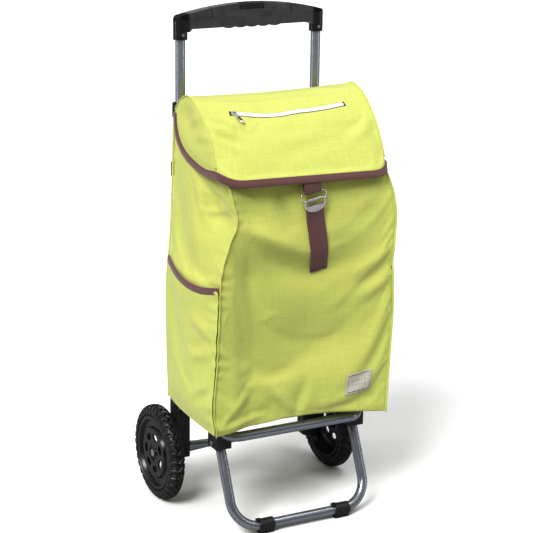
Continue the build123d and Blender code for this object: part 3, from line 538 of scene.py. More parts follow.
KEY_LIGHT = 3.05
FLOOR_COLOUR = (0.97, 0.97, 0.97)
FLOOR_BOUNCE = (0.42, 0.42, 0.42)       # the pale floor throws little light back up
WORLD_LIGHT = 1.25
LIME = (0.600, 0.640, 0.180)
BROWN = (0.200, 0.094, 0.090)
MATERIALS = {
    "lime": woven("lime_cloth", LIME, 0.0011),
    "lime_thread": woven("lime_thread", tuple(c * 0.85 for c in LIME), 0.0011),
    "brown": webbing("brown_webbing", BROWN),
    "brown_thread": woven("brown_thread", (0.19, 0.10, 0.095), 0.0011),
    "tube": painted_tube("grey_paint", (0.31, 0.325, 0.37)),
    "grip": grip_plastic("grip_plastic"),
    "plastic": moulded("black_plastic", (0.011, 0.011, 0.012), 0.42),
    "gloss": moulded("gloss_black", (0.008, 0.008, 0.009), 0.16, grain=0.00001, Coat_Weight=0.3),
    "hub": moulded("hub_plastic", (0.007, 0.007, 0.007), 0.24, grain=0.00001, Specular_IOR_Level=0.4),
    "rubber": moulded("tyre_rubber", (0.010, 0.010, 0.011), 0.36, grain=0.00006, grain_size=700.0),
    "chrome": bright_metal("chrome_plate", (0.78, 0.78, 0.80), 0.09),
    "steel": bright_metal("zinc_steel", (0.52, 0.52, 0.54), 0.28),
    # painted shadow: the dark colour of the strip along the zip's edges
    "zip": woven("zip_white", (0.80, 0.80, 0.77), 0.0008, slub=0.03),
    "zip_painted_shadow": moulded("zip_shadow", (0.030, 0.026, 0.020), 0.8),
    "label": label_cloth("label_cream"),
    "label_ink": moulded("label_print", (0.10, 0.095, 0.08), 0.8),
    "board": moulded("board_grey", (0.10, 0.10, 0.10), 0.7),
}

CAD_LOOKS = {
    "tube": ["outer_upright_*", "inner_upright_*", "cross_tube", "shelf_tube", "leg_tube"],
    "plastic": [
        "collar_*", "wheel_bracket_*", "leg_clamp_*", "foot_clip_*", "inner_plug_*",
        "release_bar",
    ],
    "grip": ["grip_lower_shell", "grip_cover_left", "grip_cover_right", "grip_cover_centre"],
    "gloss": ["release_button"],
    "hub": ["wheel_hub_*"],
    "steel": [
        "wheel_axle", "axle_nuts", "shelf_pivot_pins", "leg_pivot_pins", "grip_screws",
        "lock_pins", "release_rods", "button_spring",
    ],
}


def dress_cad_nodes():
    """Gives the CAD pieces that stay in view their materials."""
    for look, patterns in CAD_LOOKS.items():
        for pattern in patterns:
            names = [pattern]
            if pattern.endswith("*"):
                names = [pattern[:-1] + side for side, _ in SIDES]
            for name in names:
                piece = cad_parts[name]
                piece.data.materials.clear()
                piece.data.materials.append(MATERIALS[look])


# ------------------------------------------------------------ cloth simulation

def settle(piece, pins, frames=16, slack=0.02, pressure=0.0, cap=0.008, bending=0.6, gravity=0.3):
    """Lets a cloth piece buckle a little, held by its pins, and keeps the result.

    slack is how much longer the cloth is than its modelled shape, and cap how far a point may move.
    """
    scene = bpy.context.scene
    rest = np.array([v.co for v in piece.data.vertices])
    group = piece.vertex_groups.new(name="pins")
    for index, weight in enumerate(pins):
        if weight > 0:
            group.add([index], float(weight), "REPLACE")
    modifier = piece.modifiers.new("cloth", "CLOTH")
    cloth = modifier.settings
    cloth.quality = 5
    cloth.mass = 0.15
    cloth.air_damping = 3.0
    cloth.tension_stiffness = 25
    cloth.compression_stiffness = 25
    cloth.shear_stiffness = 8
    cloth.bending_stiffness = bending
    cloth.vertex_group_mass = "pins"
    cloth.pin_stiffness = 1.0
    cloth.shrink_min = -slack
    cloth.use_pressure = pressure != 0
    cloth.uniform_pressure_force = pressure
    cloth.effector_weights.gravity = gravity
    modifier.collision_settings.use_collision = False
    modifier.point_cache.frame_start = 1
    modifier.point_cache.frame_end = frames
    for step in range(1, frames + 1):
        scene.frame_set(step)
    graph = bpy.context.evaluated_depsgraph_get()
    moved = np.array([v.co for v in piece.evaluated_get(graph).data.vertices])
    piece.modifiers.clear()
    piece.vertex_groups.clear()
    scene.frame_set(1)
    change = moved - rest
    size = np.linalg.norm(change, axis=1, keepdims=True)
    change *= cap * np.tanh(size / cap) / np.maximum(size, 1e-9)
    piece.data.vertices.foreach_set("co", (rest + change).astype(np.float32).ravel())
    piece.data.update()


# -------------------------------------------------------------------------- bag

BAG_FRONT = -0.235
BAG_BACK = -0.0158
MOUTH_Z = 0.675
SEAM_LEFT = [
    (0.197, -0.176), (0.240, -0.182), (0.333, -0.177), (0.430, -0.173), (0.507, -0.168),
    (0.550, -0.154), (0.588, -0.139), (0.623, -0.143), (0.655, -0.150), (0.690, -0.148),
]
SEAM_RIGHT = [
    (0.190, 0.170), (0.290, 0.173), (0.400, 0.177), (0.494, 0.173), (0.564, 0.178), (0.610, 0.173),
    (0.655, 0.159), (0.690, 0.147),
]
REAR_HALF = [(0.197, 0.170), (0.330, 0.174), (0.450, 0.173), (0.513, 0.167), (0.610, 0.162), (0.730, 0.159)]


def bag_front_y(x, z):
    """The front wall: a belly under the buckle, a hollow beside the left seam, soft folds."""
    lean = 0.011 * ease(0.555, 0.68, z) + 0.019 * ease(0.642, 0.675, z)
    out = 0.012 * hump(x, 0.03, 0.13) * hump(z, 0.475, 0.12)
    out += 0.005 * hump(x, 0.07, 0.10) * hump(z, 0.30, 0.10)
    edge = -0.104 + 0.010 * np.sin((z - 0.22) * 14)
    fall = 0.70 * ease(-0.150, edge, x) + 0.30 * ease(edge, 0.020, x)
    hollow = (0.48 + 0.52 * ease(0.200, 0.330, z)) * (1 - ease(0.475, 0.560, z))
    hollow = hollow * (0.88 + 0.12 * np.sin(z * 40))
    out -= 0.029 * fall * hollow * (1 - ease(0.000, 0.165, x))
    out += fold(x, z, (-0.142, 0.572), (0.000, 0.500), 0.026, 0.014, sided=0.8)
    out += fold(x, z, (-0.128, 0.530), (-0.080, 0.400), 0.020, -0.006)
    out += fold(x, z, (-0.072, 0.655), (-0.022, 0.555), 0.019, -0.0110, sided=0.25)
    out += fold(x, z, (-0.120, 0.645), (-0.112, 0.560), 0.024, -0.0060)
    out += fold(x, z, (0.085, 0.455), (0.174, 0.500), 0.016, 0.0080, sided=0.75)
    out += fold(x, z, (0.110, 0.415), (0.174, 0.450), 0.014, 0.0055, sided=0.7)
    out += fold(x, z, (0.080, 0.620), (0.165, 0.575), 0.030, 0.0050, sided=0.7)
    out += fold(x, z, (-0.062, 0.268), (-0.016, 0.204), 0.012, 0.0085, sided=0.75)
    out += fold(x, z, (0.010, 0.275), (-0.010, 0.204), 0.011, -0.0070, sided=-0.6)
    out += fold(x, z, (-0.168, 0.214), (-0.105, 0.272), 0.012, 0.0060, sided=0.7)
    out += fold(x, z, (-0.170, 0.206), (-0.080, 0.219), 0.009, 0.0050, sided=0.7)
    out += fold(x, z, (0.030, 0.215), (0.120, 0.240), 0.016, 0.0035, sided=0.6)
    pucker = np.exp(-np.maximum(x - through(SEAM_LEFT, z), 0) / 0.014)
    wave = np.sin(z * 260 + 3 * np.sin(z * 41))
    out += 0.0026 * pucker * wave * (0.25 + 0.75 * np.sin(z * 23) ** 2)
    return BAG_FRONT + lean - out


def bag_bottom_z(place, side):
    """Height of the bag's bottom edge; place runs 0 to 1 along the named wall."""
    place = np.asarray(place, float)
    if side == "front":
        across = 2 * place - 1
        return 0.2105 - np.where(across < 0, 0.0105, 0.0165) * across ** 2
    if side == "back":
        return 0.207 - 0.004 * np.sin(math.pi * place)
    corner = 0.200 if side == "left" else 0.194
    return 0.199 + (corner - 0.199) * place + 0.008 * (1 - place) ** 6


def bag_wall(side, columns, rows):
    """One wall of the bag as a grid of points, rows running up and columns round the bag."""
    even = np.linspace(0, 1, columns)
    climb = np.linspace(0, 1, rows)[:, None]
    if side == "front":
        place = (even - 0.55 * np.sin(2 * math.pi * even) / (2 * math.pi))[None, :]
        low, high = bag_bottom_z(place, side), MOUTH_Z
        z = low + (high - low) * climb
        left, right = through(SEAM_LEFT, z), through(SEAM_RIGHT, z)
        x = left + (right - left) * place
        y = bag_front_y(x, z)
        return at(x, y, z)
    if side == "back":
        place = even[None, :]
        low, high = bag_bottom_z(place, side), 0.722 + 0.006 * np.sin(math.pi * place)
        z = low + (high - low) * climb
        half = through(REAR_HALF, z)
        x = half * (1 - 2 * place)
        return at(x, BAG_BACK - 0.006 * hump(np.abs(x), 0.17, 0.012), z)
    sign = -1 if side == "left" else 1
    forward = 1 - (1 - even) ** 1.45 if side == "left" else (1 - even ** 1.45)
    forward = forward[None, :]
    low = bag_bottom_z(forward, side)
    high = 0.722 + (MOUTH_Z - 0.722) * forward
    z = low + (high - low) * climb
    seam = SEAM_LEFT if side == "left" else SEAM_RIGHT
    front_x = through(seam, z)
    rear_x = sign * through(REAR_HALF, z)
    y_rear = BAG_BACK - 0.006
    y = y_rear + (bag_front_y(front_x, z) - y_rear) * forward
    turn = ease(0.42, 1.0, forward) if side == "left" else forward
    x = rear_x + (front_x - rear_x) * turn
    gone = (1 - forward) * 0.219
    swell = 0.005 * np.sin(math.pi * forward) * (0.4 + 0.6 * ease(0.22, 0.5, z))
    swell -= 0.0042 * hump(gone, 0.0050, 0.0040) * (1 - ease(0.555, 0.60, z))
    swell -= 0.013 * hump(forward, 0.72, 0.13) * hump(z, 0.600, 0.026) * (side == "left")
    swell += 0.004 * hump(forward, 0.55, 0.18) * hump(z, 0.545, 0.03)
    swell += fold(forward * 0.22, z, (0.085, 0.655), (0.185, 0.612), 0.012, -0.006, sided=0.4)
    swell += fold(forward * 0.22, z, (0.130, 0.585), (0.195, 0.600), 0.010, 0.004, sided=0.6)
    close = np.exp(-gone / 0.016)
    wave = np.sin(z * 230 + 4 * np.sin(z * 37))
    swell += 0.0030 * close * wave * (0.3 + 0.7 * np.sin(z * 19) ** 2) * ease(0.004, 0.012, gone)
    return at(x + sign * swell, y, z)


def bag_bottom(ring_front, ring_right, ring_back, ring_left):
    """The bottom cloth between the four bottom edges, hanging a little below them."""
    rows, columns = len(ring_left), len(ring_front)
    s = np.linspace(0, 1, columns)[None, :, None]
    t = np.linspace(0, 1, rows)[:, None, None]
    front, back = ring_front[None], ring_back[::-1][None]
    left, right = ring_left[::-1][:, None], ring_right[:, None]
    ruled = (1 - t) * front + t * back + (1 - s) * left + s * right
    corners = (
        (1 - s) * (1 - t) * ring_front[0]
        + s * (1 - t) * ring_front[-1]
        + (1 - s) * t * ring_back[-1]
        + s * t * ring_back[0]
    )
    points = ruled - corners
    near_front, near_back = ease(0.0, 0.30, t[..., 0]), ease(0.0, 0.30, 1 - t[..., 0])
    near_sides = ease(0.0, 0.10, s[..., 0]) * ease(0.0, 0.10, 1 - s[..., 0])
    sag = 0.009 * near_front * near_back * near_sides
    points[..., 2] = np.maximum(points[..., 2] - sag, 0.1945)
    return points


SIDE_COLUMNS, FRONT_COLUMNS, WALL_ROWS = 44, 66, 84


def bag_shell():
    """The sewn bag: four walls and a bottom in one piece, with sharp seams between them."""
    walls = {
        "left": bag_wall("left", SIDE_COLUMNS, WALL_ROWS),
        "front": bag_wall("front", FRONT_COLUMNS, WALL_ROWS),
        "right": bag_wall("right", SIDE_COLUMNS, WALL_ROWS),
        "back": bag_wall("back", FRONT_COLUMNS, WALL_ROWS),
    }
    order = ["left", "front", "right", "back"]
    for name, following in zip(order, order[1:] + order[:1]):
        shared = (walls[name][:, -1] + walls[following][:, 0]) / 2
        walls[name][:, -1] = shared
        walls[following][:, 0] = shared
    around = np.concatenate([walls[name][:, :-1] for name in order], axis=1)
    rows, columns = around.shape[:2]
    points = around.reshape(-1, 3)
    faces = grid_faces(rows, columns, wrap_columns=True)
    across = lengths_along(np.concatenate([around[rows // 2], around[rows // 2][:1]]))[:-1]
    up = lengths_along(around[:, SIDE_COLUMNS + FRONT_COLUMNS // 2])
    uv = np.stack(np.meshgrid(across, up), axis=-1).reshape(-1, 2)
    bottom = bag_bottom(*(walls[name][0] for name in ("front", "right", "back", "left")))
    first = len(points)
    inner = bottom[1:-1, 1:-1]
    points = np.concatenate([points, inner.reshape(-1, 3)])
    inner_rows, inner_columns = inner.shape[:2]
    uv = np.concatenate([uv, inner.reshape(-1, 3)[:, :2]])
    starts = np.cumsum([0, SIDE_COLUMNS - 1, FRONT_COLUMNS - 1, SIDE_COLUMNS - 1])

    def index(row, column):
        """The vertex of the bottom's grid, whose rim belongs to the walls."""
        if 0 < row <= inner_rows and 0 < column <= inner_columns:
            return first + (row - 1) * inner_columns + column - 1
        if row == 0:
            return (starts[1] + column) % columns
        if row == inner_rows + 1:
            return (starts[3] + FRONT_COLUMNS - 1 - column) % columns
        if column == 0:
            return (starts[0] + SIDE_COLUMNS - 1 - row) % columns
        return (starts[2] + row) % columns

    for row in range(inner_rows + 1):
        for column in range(inner_columns + 1):
            around_face = ((0, 0), (1, 0), (1, 1), (0, 1))
            faces.append(tuple(int(index(row + r, column + c)) for r, c in around_face))
    bag = new_piece("bag_shell", points, faces, MATERIALS["lime"], uv)
    pins = np.zeros(len(points))
    grid = pins[:first].reshape(rows, columns)
    height = around[..., 2]
    grid[:] = 0.03
    grid[:2] = 1
    grid[-2:] = 1
    grid[:, list(starts)] = 1
    grid[:, starts[3]:] = np.maximum(grid[:, starts[3]:], 0.4)
    for start, stop in ((starts[0], starts[1]), (starts[2], starts[3])):
        behind_pocket = height[:, start:stop] < 0.45
        grid[:, start:stop] = np.where(behind_pocket, 1.0, grid[:, start:stop])
    pins[first:] = 1
    settle(bag, pins, slack=0.008, cap=0.0045)
    settled = np.array([v.co for v in bag.data.vertices])
    ring = settled[:first].reshape(rows, columns, 3)
    sharp_columns = set(int(s) for s in starts)
    for edge in bag.data.edges:
        a, b = edge.vertices
        if a < first and b < first:
            ca, cb = a % columns, b % columns
            on_seam = ca == cb and ca in sharp_columns
            on_bottom = a < columns and b < columns
            edge.use_edge_sharp = on_seam or on_bottom
    modify(bag, "SOLIDIFY", thickness=0.0012, offset=-1.0)
    modify(bag, "SUBSURF", levels=1, render_levels=1, boundary_smooth="PRESERVE_CORNERS")
    return bag, ring, [int(s) for s in starts]


def surface_of(piece):
    """A lookup for rays against a piece as it is shown."""
    return BVHTree.FromObject(piece, bpy.context.evaluated_depsgraph_get())


def front_hits(tree, x, z, lift):
    """Points on a piece's front face at the given X and Z, lifted off it."""
    found = []
    for across, up in zip(np.ravel(x), np.ravel(z)):
        place, _, _, _ = tree.ray_cast(Vector((across, -1.0, up)), Vector((0, 1, 0)))
        found.append((across, place.y - lift, up))
    return np.array(found).reshape(*np.shape(x), 3)


def seam_welts(ring, starts):
    """The thin raised edges where the bag's walls are sewn together."""
    pieces = []
    outward = {1: (-0.55, -0.83, 0), 2: (0.55, -0.83, 0), 0: (-0.7, 0.7, 0), 3: (0.7, 0.7, 0)}
    for corner, normal in outward.items():
        line = smoothed(resampled(ring[:, starts[corner]], 0.004), 2)
        normals = np.tile(unit(np.array(normal)), (len(line), 1))
        line = line + normals * 0.0014
        section = round_section(0.0014, 10, 1.4)
        pieces.append(sweep(f"bag_seam_{corner}", line, normals, section, MATERIALS["lime"]))
    rim = ring[-1]
    centre = rim.mean(axis=0)
    normals = unit((rim - centre) * np.array([1, 1, 0]))
    section = tape_section(-0.010, 0.0012, 0.0030, -0.0018)
    pieces.append(sweep("bag_mouth_hem", rim, normals, section, MATERIALS["lime"], closed=True))
    return pieces


def side_pockets():
    """A patch pocket on each side with its bound, sagging mouth."""
    made = []
    columns, rows = 40, 44
    even = np.linspace(0, 1, columns)
    place = (1 - (1 - even) ** 1.4)[None, :]
    climb = np.linspace(0, 1, rows)[:, None]
    for name, sign in SIDES:
        seam = SEAM_LEFT if sign < 0 else SEAM_RIGHT
        mouth = through([(0, 0.481), (0.35, 0.464), (0.65, 0.462), (1.0, 0.474)], place)
        low = bag_bottom_z(place, name) + 0.001
        z = low + (mouth - low) * climb
        front_x = sign * through(seam, z)
        front_y = bag_front_y(sign * front_x, z) + 0.0032
        y = (BAG_BACK - 0.007) * (1 - place) + front_y * place
        rear_x = through(REAR_HALF, z)
        x = rear_x + (front_x - rear_x) * place
        gone = (1 - place) * 0.215
        swell = 0.0022 + 0.0056 * np.sin(math.pi * place) ** 0.7 * (0.45 + 0.55 * ease(0.0, 0.2, climb))
        swell += 0.0050 * ease(0.75, 1.0, climb) * np.sin(math.pi * place)
        close = np.exp(-gone / 0.018)
        wave = np.sin(z * 210 + 5 * np.sin(z * 29 + 1))
        swell += 0.0032 * close * wave * (0.25 + 0.75 * np.sin(z * 17) ** 2) * ease(0.0, 0.004, gone)
        swell += fold(place * 0.22, z, (0.125, 0.325), (0.212, 0.345), 0.011, 0.0045, sided=0.6)
        swell += fold(place * 0.22, z, (0.120, 0.395), (0.210, 0.375), 0.013, 0.0050, sided=0.5)
        swell += fold(place * 0.22, z, (0.150, 0.262), (0.212, 0.290), 0.010, 0.0045, sided=0.7)
        swell += fold(place * 0.22, z, (0.020, 0.440), (0.075, 0.300), 0.020, -0.0030, sided=0.3)
        points = at(sign * (x + np.maximum(swell, 0.0014)), y, z)
        if sign > 0:
            points = points[:, ::-1]
        pocket = grid_piece(f"side_pocket_cloth_{name}", points, MATERIALS["lime"])
        pins = np.full((rows, columns), 0.05)
        pins[:, :2] = 1
        pins[:, -2:] = 1
        pins[:2] = 1
        pins[-1] = 0.6
        settle(pocket, pins.ravel(), frames=14, slack=0.005, cap=0.0025, gravity=0.1)
        settled = np.array([v.co for v in pocket.data.vertices]).reshape(rows, columns, 3)
        modify(pocket, "SOLIDIFY", thickness=0.0014, offset=-1.0)
        modify(pocket, "SUBSURF", levels=1, render_levels=1, boundary_smooth="PRESERVE_CORNERS")
        top = smoothed(settled[-1], 3)
        if sign > 0:
            top = top[::-1]
        tucked = top[-1] + np.array([-sign * 0.004, -0.0034, 0.0])
        top = resampled(np.concatenate([top, tucked[None]]), 0.004)
        normals = np.tile(np.array([float(sign), 0.0, 0.0]), (len(top), 1))
        width = tape_section(-0.0006, 0.0118, 0.0032, -0.0018)
        if sign > 0:
            width = tape_section(-0.0118, 0.0006, 0.0032, -0.0018)
        tape = sweep(f"pocket_tape_{name}", top, normals, width, MATERIALS["brown"])
        row = top[:-2] + np.array([sign * 0.0019, 0, -0.0098])
        thread = stitches(
            f"pocket_stitches_{name}", smoothed(row, 2), normals[:-2], MATERIALS["brown_thread"]
        )
        made.append((name, pocket, tape, thread))
    return made


# -------------------------------------------------------------------------- lid

LID_HALF = 0.1655
LID_PROFILE = [
    (0.00, -0.019, 0.733), (0.08, -0.0265, 0.753), (0.17, -0.044, 0.771), (0.25, -0.066, 0.782),
    (0.33, -0.093, 0.7855), (0.43, -0.122, 0.777), (0.55, -0.153, 0.756), (0.66, -0.180, 0.731),
    (0.78, -0.204, 0.704), (0.89, -0.225, 0.677), (1.00, -0.2435, 0.648),
]
FRONT_STRAIGHT = 0.128          # half the straight part of the lid's front edge
CORNER_DEPTH = 0.0315           # how far its rounded corner runs back
CORNER_ARC = 0.0555


def lid_edge(s):
    """The lid's free front edge; s runs from -1 to 1 along it, corners included."""
    run = np.abs(s) * (FRONT_STRAIGHT + CORNER_ARC)
    turn = np.clip((run - FRONT_STRAIGHT) / CORNER_ARC, 0, 1) * math.pi / 2
    across = LID_HALF + 0.0012 - FRONT_STRAIGHT
    x = np.sign(s) * (np.minimum(run, FRONT_STRAIGHT) + across * np.sin(turn))
    y = LID_PROFILE[-1][1] + CORNER_DEPTH * (1 - np.cos(turn))
    z = LID_PROFILE[-1][2] + 0.010 * (1 - np.cos(turn)) - 0.0045 * x / LID_HALF
    return x, y, z


def lid_point(s, along):
    """A point of the lid's top, from the rear seam (along 0) to the front edge (along 1)."""
    y = through([(p[0], p[1]) for p in LID_PROFILE], along)
    z = through([(p[0], p[2]) for p in LID_PROFILE], along)
    edge_x, edge_y, edge_z = lid_edge(s)
    late = np.clip((along - 0.5) / 0.5, 0, 1)
    x = s * LID_HALF + (edge_x - s * LID_HALF) * ease(0.60, 1.0, along)
    y = y + (edge_y - LID_PROFILE[-1][1]) * late ** 1.6
    z = z + (edge_z - LID_PROFILE[-1][2]) * late ** 1.6
    side = ease(0.72, 1.0, np.abs(s))
    y = y - 0.010 * side * (1 - ease(0.22, 0.34, along))
    z = z - 0.005 * side * (1 - ease(0.05, 0.30, along))
    middle_part = np.cos(np.clip(s, -1, 1) * math.pi / 2)
    z = z - 0.003 * middle_part * hump(along, 0.33, 0.12)
    flat = 1 - ease(0.93, 1.0, along)
    out = 0.004 * middle_part * hump(along, 0.66, 0.2)
    u, v = s * LID_HALF, along * 0.33
    out += fold(u, v, (-0.162, 0.165), (-0.118, 0.192), 0.008, 0.0050, sided=0.7)
    out += fold(u, v, (-0.163, 0.190), (-0.105, 0.222), 0.010, 0.0060, sided=0.7)
    out += fold(u, v, (-0.160, 0.222), (-0.110, 0.250), 0.010, 0.0040, sided=0.7)
    out += fold(u, v, (-0.120, 0.215), (-0.020, 0.165), 0.020, -0.0040, sided=0.3)
    out += fold(u, v, (-0.030, 0.160), (0.030, 0.235), 0.020, -0.0030, sided=0.4)
    out += fold(u, v, (-0.05, 0.265), (0.08, 0.235), 0.018, -0.0028, sided=0.5)
    out += fold(u, v, (0.085, 0.105), (0.160, 0.130), 0.013, 0.0040, sided=0.7)
    out += fold(u, v, (0.090, 0.250), (0.160, 0.205), 0.014, 0.0040, sided=0.7)
    out += fold(u, v, (-0.060, 0.075), (0.075, 0.085), 0.012, -0.0022, sided=0.5)
    return at(x, y - 0.75 * out * flat, z + 0.6 * out * flat)


CHEEK_START = 0.08              # how far along the lid's side its end piece begins
CHEEK_EDGE = [
    (0.00, -0.0365, 0.7480), (0.08, -0.0362, 0.7300), (0.24, -0.048, 0.6990), (0.42, -0.077, 0.6765),
    (0.60, -0.115, 0.6650), (0.80, -0.160, 0.6585), (1.00, -0.212, 0.6580),
]


def cheek_edge(sign, t):
    """The free lower edge of one of the lid's ends, from the rear to the front."""
    y = through([(p[0], p[1]) for p in CHEEK_EDGE], t)
    z = through([(p[0], p[2]) for p in CHEEK_EDGE], t)
    z = z - sign * 0.0045 * (LID_HALF + 0.0012) / LID_HALF * ease(0.8, 1.0, t)
    return at(sign * (LID_HALF + 0.0012), y, z)


LID_ALONG = np.concatenate([np.linspace(0, 0.9, 58)[:-1], np.linspace(0.9, 1.0, 11)])


def lid_top():
    """The lid's top cloth, rounded at its front corners."""
    even = np.linspace(-1, 1, 69)
    s = (even + 0.35 * np.sin(math.pi * even) / math.pi)[None, :]
    return lid_point(s + 0 * LID_ALONG[:, None], LID_ALONG[:, None] + 0 * s)


def lid_cheek(sign, top):
    """One end of the lid, between its seam and its swept lower edge."""
    column = top[:, 0] if sign < 0 else top[:, -1]
    seam = resampled(column[int(np.searchsorted(LID_ALONG, CHEEK_START)):], 0.0042)
    t = np.linspace(0, 1, len(seam))
    edge = cheek_edge(sign, t)
    edge[0], edge[-1] = seam[0], seam[-1]
    rows = 30
    drop = np.linspace(0, 1, rows)[:, None]
    points = seam[None] * (1 - drop[..., None]) + edge[None] * drop[..., None]
    height = np.linalg.norm(edge - seam, axis=1)[None, :]
    free = ease(0.010, 0.032, (1 - drop) * height)
    bulge = 0.0040 * np.sin(math.pi * drop) ** 0.7 * np.sin(math.pi * t)[None, :] ** 0.8
    bulge -= 0.0060 * hump(drop, 0.38, 0.20) * hump(t, 0.36, 0.13)[None, :]
    bulge += fold(t[None, :] * 0.22, drop * 0.09, (0.115, 0.004), (0.085, 0.045), 0.010, 0.0035, sided=0.6)
    bulge += fold(t[None, :] * 0.22, drop * 0.09, (0.155, 0.004), (0.125, 0.040), 0.010, 0.0030, sided=0.6)
    ripple = np.exp(-drop * height / 0.012) * np.sin(t * 40 + 3 * np.sin(t * 9))[None, :]
    bulge += 0.0016 * ripple * ease(0, 0.006, drop * height)
    points[..., 0] += sign * bulge * free
    if sign > 0:
        points = points[:, ::-1]
    return points, seam


def lid_binding_path(top):
    """The lid's free edge from the left rear to the right rear, and the way into its cloth."""
    paths, inward = [], []
    for _, sign in SIDES:
        line = resampled(cheek_edge(sign, np.linspace(0, 1, 90)), 0.004)
        centre = at(sign * LID_HALF, -0.100, 0.722)
        tangent = unit(np.gradient(line, axis=0))
        into = centre - line
        into[:, 0] = 0
        into = unit(into - tangent * np.sum(into * tangent, axis=1, keepdims=True))
        paths.append(line)
        inward.append(into)
    front = top[-1]
    into = unit(top[-4] - top[-1])
    line = np.concatenate([paths[0][:-1], front, paths[1][::-1][1:]])
    into = np.concatenate([inward[0][:-1], into, inward[1][::-1][1:]])
    along = lengths_along(line)
    even = resampled(line, 0.0035)
    places = np.linspace(0, along[-1], len(even))
    into = np.stack([np.interp(places, along, into[:, k]) for k in range(3)], axis=1)
    even, into = smoothed(even, 4), unit(smoothed(into, 10))
    tangent = unit(np.gradient(even, axis=0))
    normals = unit(np.cross(tangent, into))
    return even, normals


UNDER_BINDING = 4               # the last points of a seam, which the binding covers


def build_lid():
    """The hood: its top, two cheeks, their seams, and the binding along the free edge."""
    top = lid_top()
    rows, columns = top.shape[:2]
    panel = grid_piece("lid_cloth", top, MATERIALS["lime"], turned=True)
    pins = np.full((rows, columns), 0.04)
    pins[:, :1] = 1
    pins[:, -1:] = 1
    pins[:2] = 1
    pins[-6:] = 1
    zip_rows = slice(int(rows * 0.42), int(rows * 0.62))
    pins[zip_rows] = np.maximum(pins[zip_rows], 0.25)
    settle(panel, pins.ravel(), frames=14, slack=0.007, cap=0.003, gravity=0.15)
    settled = np.array([v.co for v in panel.data.vertices]).reshape(rows, columns, 3)
    pieces, seams = [panel], []
    for name, sign in SIDES:
        points, seam = lid_cheek(sign, settled)
        cheek = grid_piece(f"lid_cheek_{name}", points, MATERIALS["lime"], turned=True)
        pins = np.full(points.shape[:2], 0.05)
        pins[:2] = 1
        pins[-5:] = 1
        pins[:, :2] = 1
        pins[:, -2:] = 1
        settle(cheek, pins.ravel(), frames=12, slack=0.008, cap=0.0025, gravity=0.1)
        pieces.append(cheek)
        normals = np.tile(unit(np.array([sign * 0.7, -0.1, 0.7])), (len(seam), 1))
        line = smoothed(seam, 2) + normals * 0.0010
        section = round_section(0.0013, 10, 1.2)
        line, normals = line[:-UNDER_BINDING], normals[:-UNDER_BINDING]
        seams.append(sweep(f"lid_seam_{name}", line, normals, section, MATERIALS["lime"]))
    for cloth in pieces:
        modify(cloth, "SOLIDIFY", thickness=0.0014, offset=-1.0)
        modify(cloth, "SUBSURF", levels=1, render_levels=1, boundary_smooth="PRESERVE_CORNERS")
    line, normals = lid_binding_path(settled)
    section = tape_section(-0.0126, 0.0008, 0.0040, -0.0020)
    tape = sweep("lid_tape", line, normals, section, MATERIALS["brown"])
    into = np.cross(normals, unit(np.gradient(line, axis=0)))
    row = line + into * 0.0106 + normals * 0.0021
    thread = stitches("lid_stitches", row, normals, MATERIALS["brown_thread"])
    bend = {"start": tuple(at(0, -0.012, 0.774)), "end": tuple(at(0, -0.070, 0.774))}
    return pieces, seams, [tape, thread], bend, surface_of(panel)


# -------------------------------------------------------------------------- zip

def slope_at(tree, x, y):
    """The lid's surface and the way it faces, above a place."""
    place, normal, _, _ = tree.ray_cast(Vector((x, UPRIGHT_Y + y, 1.2)), Vector((0, 0, -1)))
    normal = normal if normal.z > 0 else -normal
    return np.array(place), np.array(normal)


def build_zip(tree):
    """A coated zip let into the lid: a painted shadow strip along its edges, white tape and teeth; its
    slider and pull are made in build_slider_and_pull.
    """
    low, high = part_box("zip_tape")
    start, end = low.x, high.x
    middle_y = (low.y + high.y) / 2 - UPRIGHT_Y
    x = np.linspace(start, end, 60)
    dip = 0.0105 * (1 - ((x - (start + end) / 2) / ((end - start) / 2)) ** 2)
    found = [slope_at(tree, a, middle_y - 0.0005 - d * 0.85) for a, d in zip(x, dip)]
    line = smoothed(np.array([f[0] for f in found]), 3)
    normals = unit(smoothed(np.array([f[1] for f in found]), 6))
    # painted shadow: a dark strip a little wider than the white tape stands in for the shade along the
    # zip's edges
    section = tape_section(-0.0049, 0.0049, 0.0006, -0.0001, 0.0002)
    outline = sweep("zip_shadow_edge", line, normals, section, MATERIALS["zip_painted_shadow"])
    section = tape_section(-0.0041, 0.0041, 0.0009, 0.0001, 0.0002)
    tape = sweep("zip_cloth", line[1:-1], normals[1:-1], section, MATERIALS["zip"])
    teeth_points, teeth_faces = [], []
    fine = resampled(line[1:-1], 0.0014)
    tangents = unit(np.gradient(fine, axis=0))
    for k, (place, tangent) in enumerate(zip(fine, tangents)):
        normal = normals[min(len(normals) - 1, int(k / len(fine) * len(normals)))]
        side = unit(np.cross(tangent, normal))
        shift = 0.0007 if k % 2 else -0.0007
        centre = place + side * shift + normal * 0.0010
        first = len(teeth_points)
        for along, across, out in (
            (-1, -1, 0), (1, -1, 0), (1, 1, 0), (-1, 1, 0),
            (-0.6, -0.8, 1), (0.6, -0.8, 1), (0.6, 0.8, 1), (-0.6, 0.8, 1),
        ):
            offset = tangent * along * 0.0005 + side * across * 0.0012 + normal * out * 0.0007
            teeth_points.append(centre + offset)
        box = ((4, 5, 6, 7), (0, 1, 5, 4), (1, 2, 6, 5), (2, 3, 7, 6), (3, 0, 4, 7))
        teeth_faces += [tuple(first + v for v in face) for face in box]
    teeth = new_piece("zip_teeth", teeth_points, teeth_faces, MATERIALS["zip"])
    return outline, tape, teeth


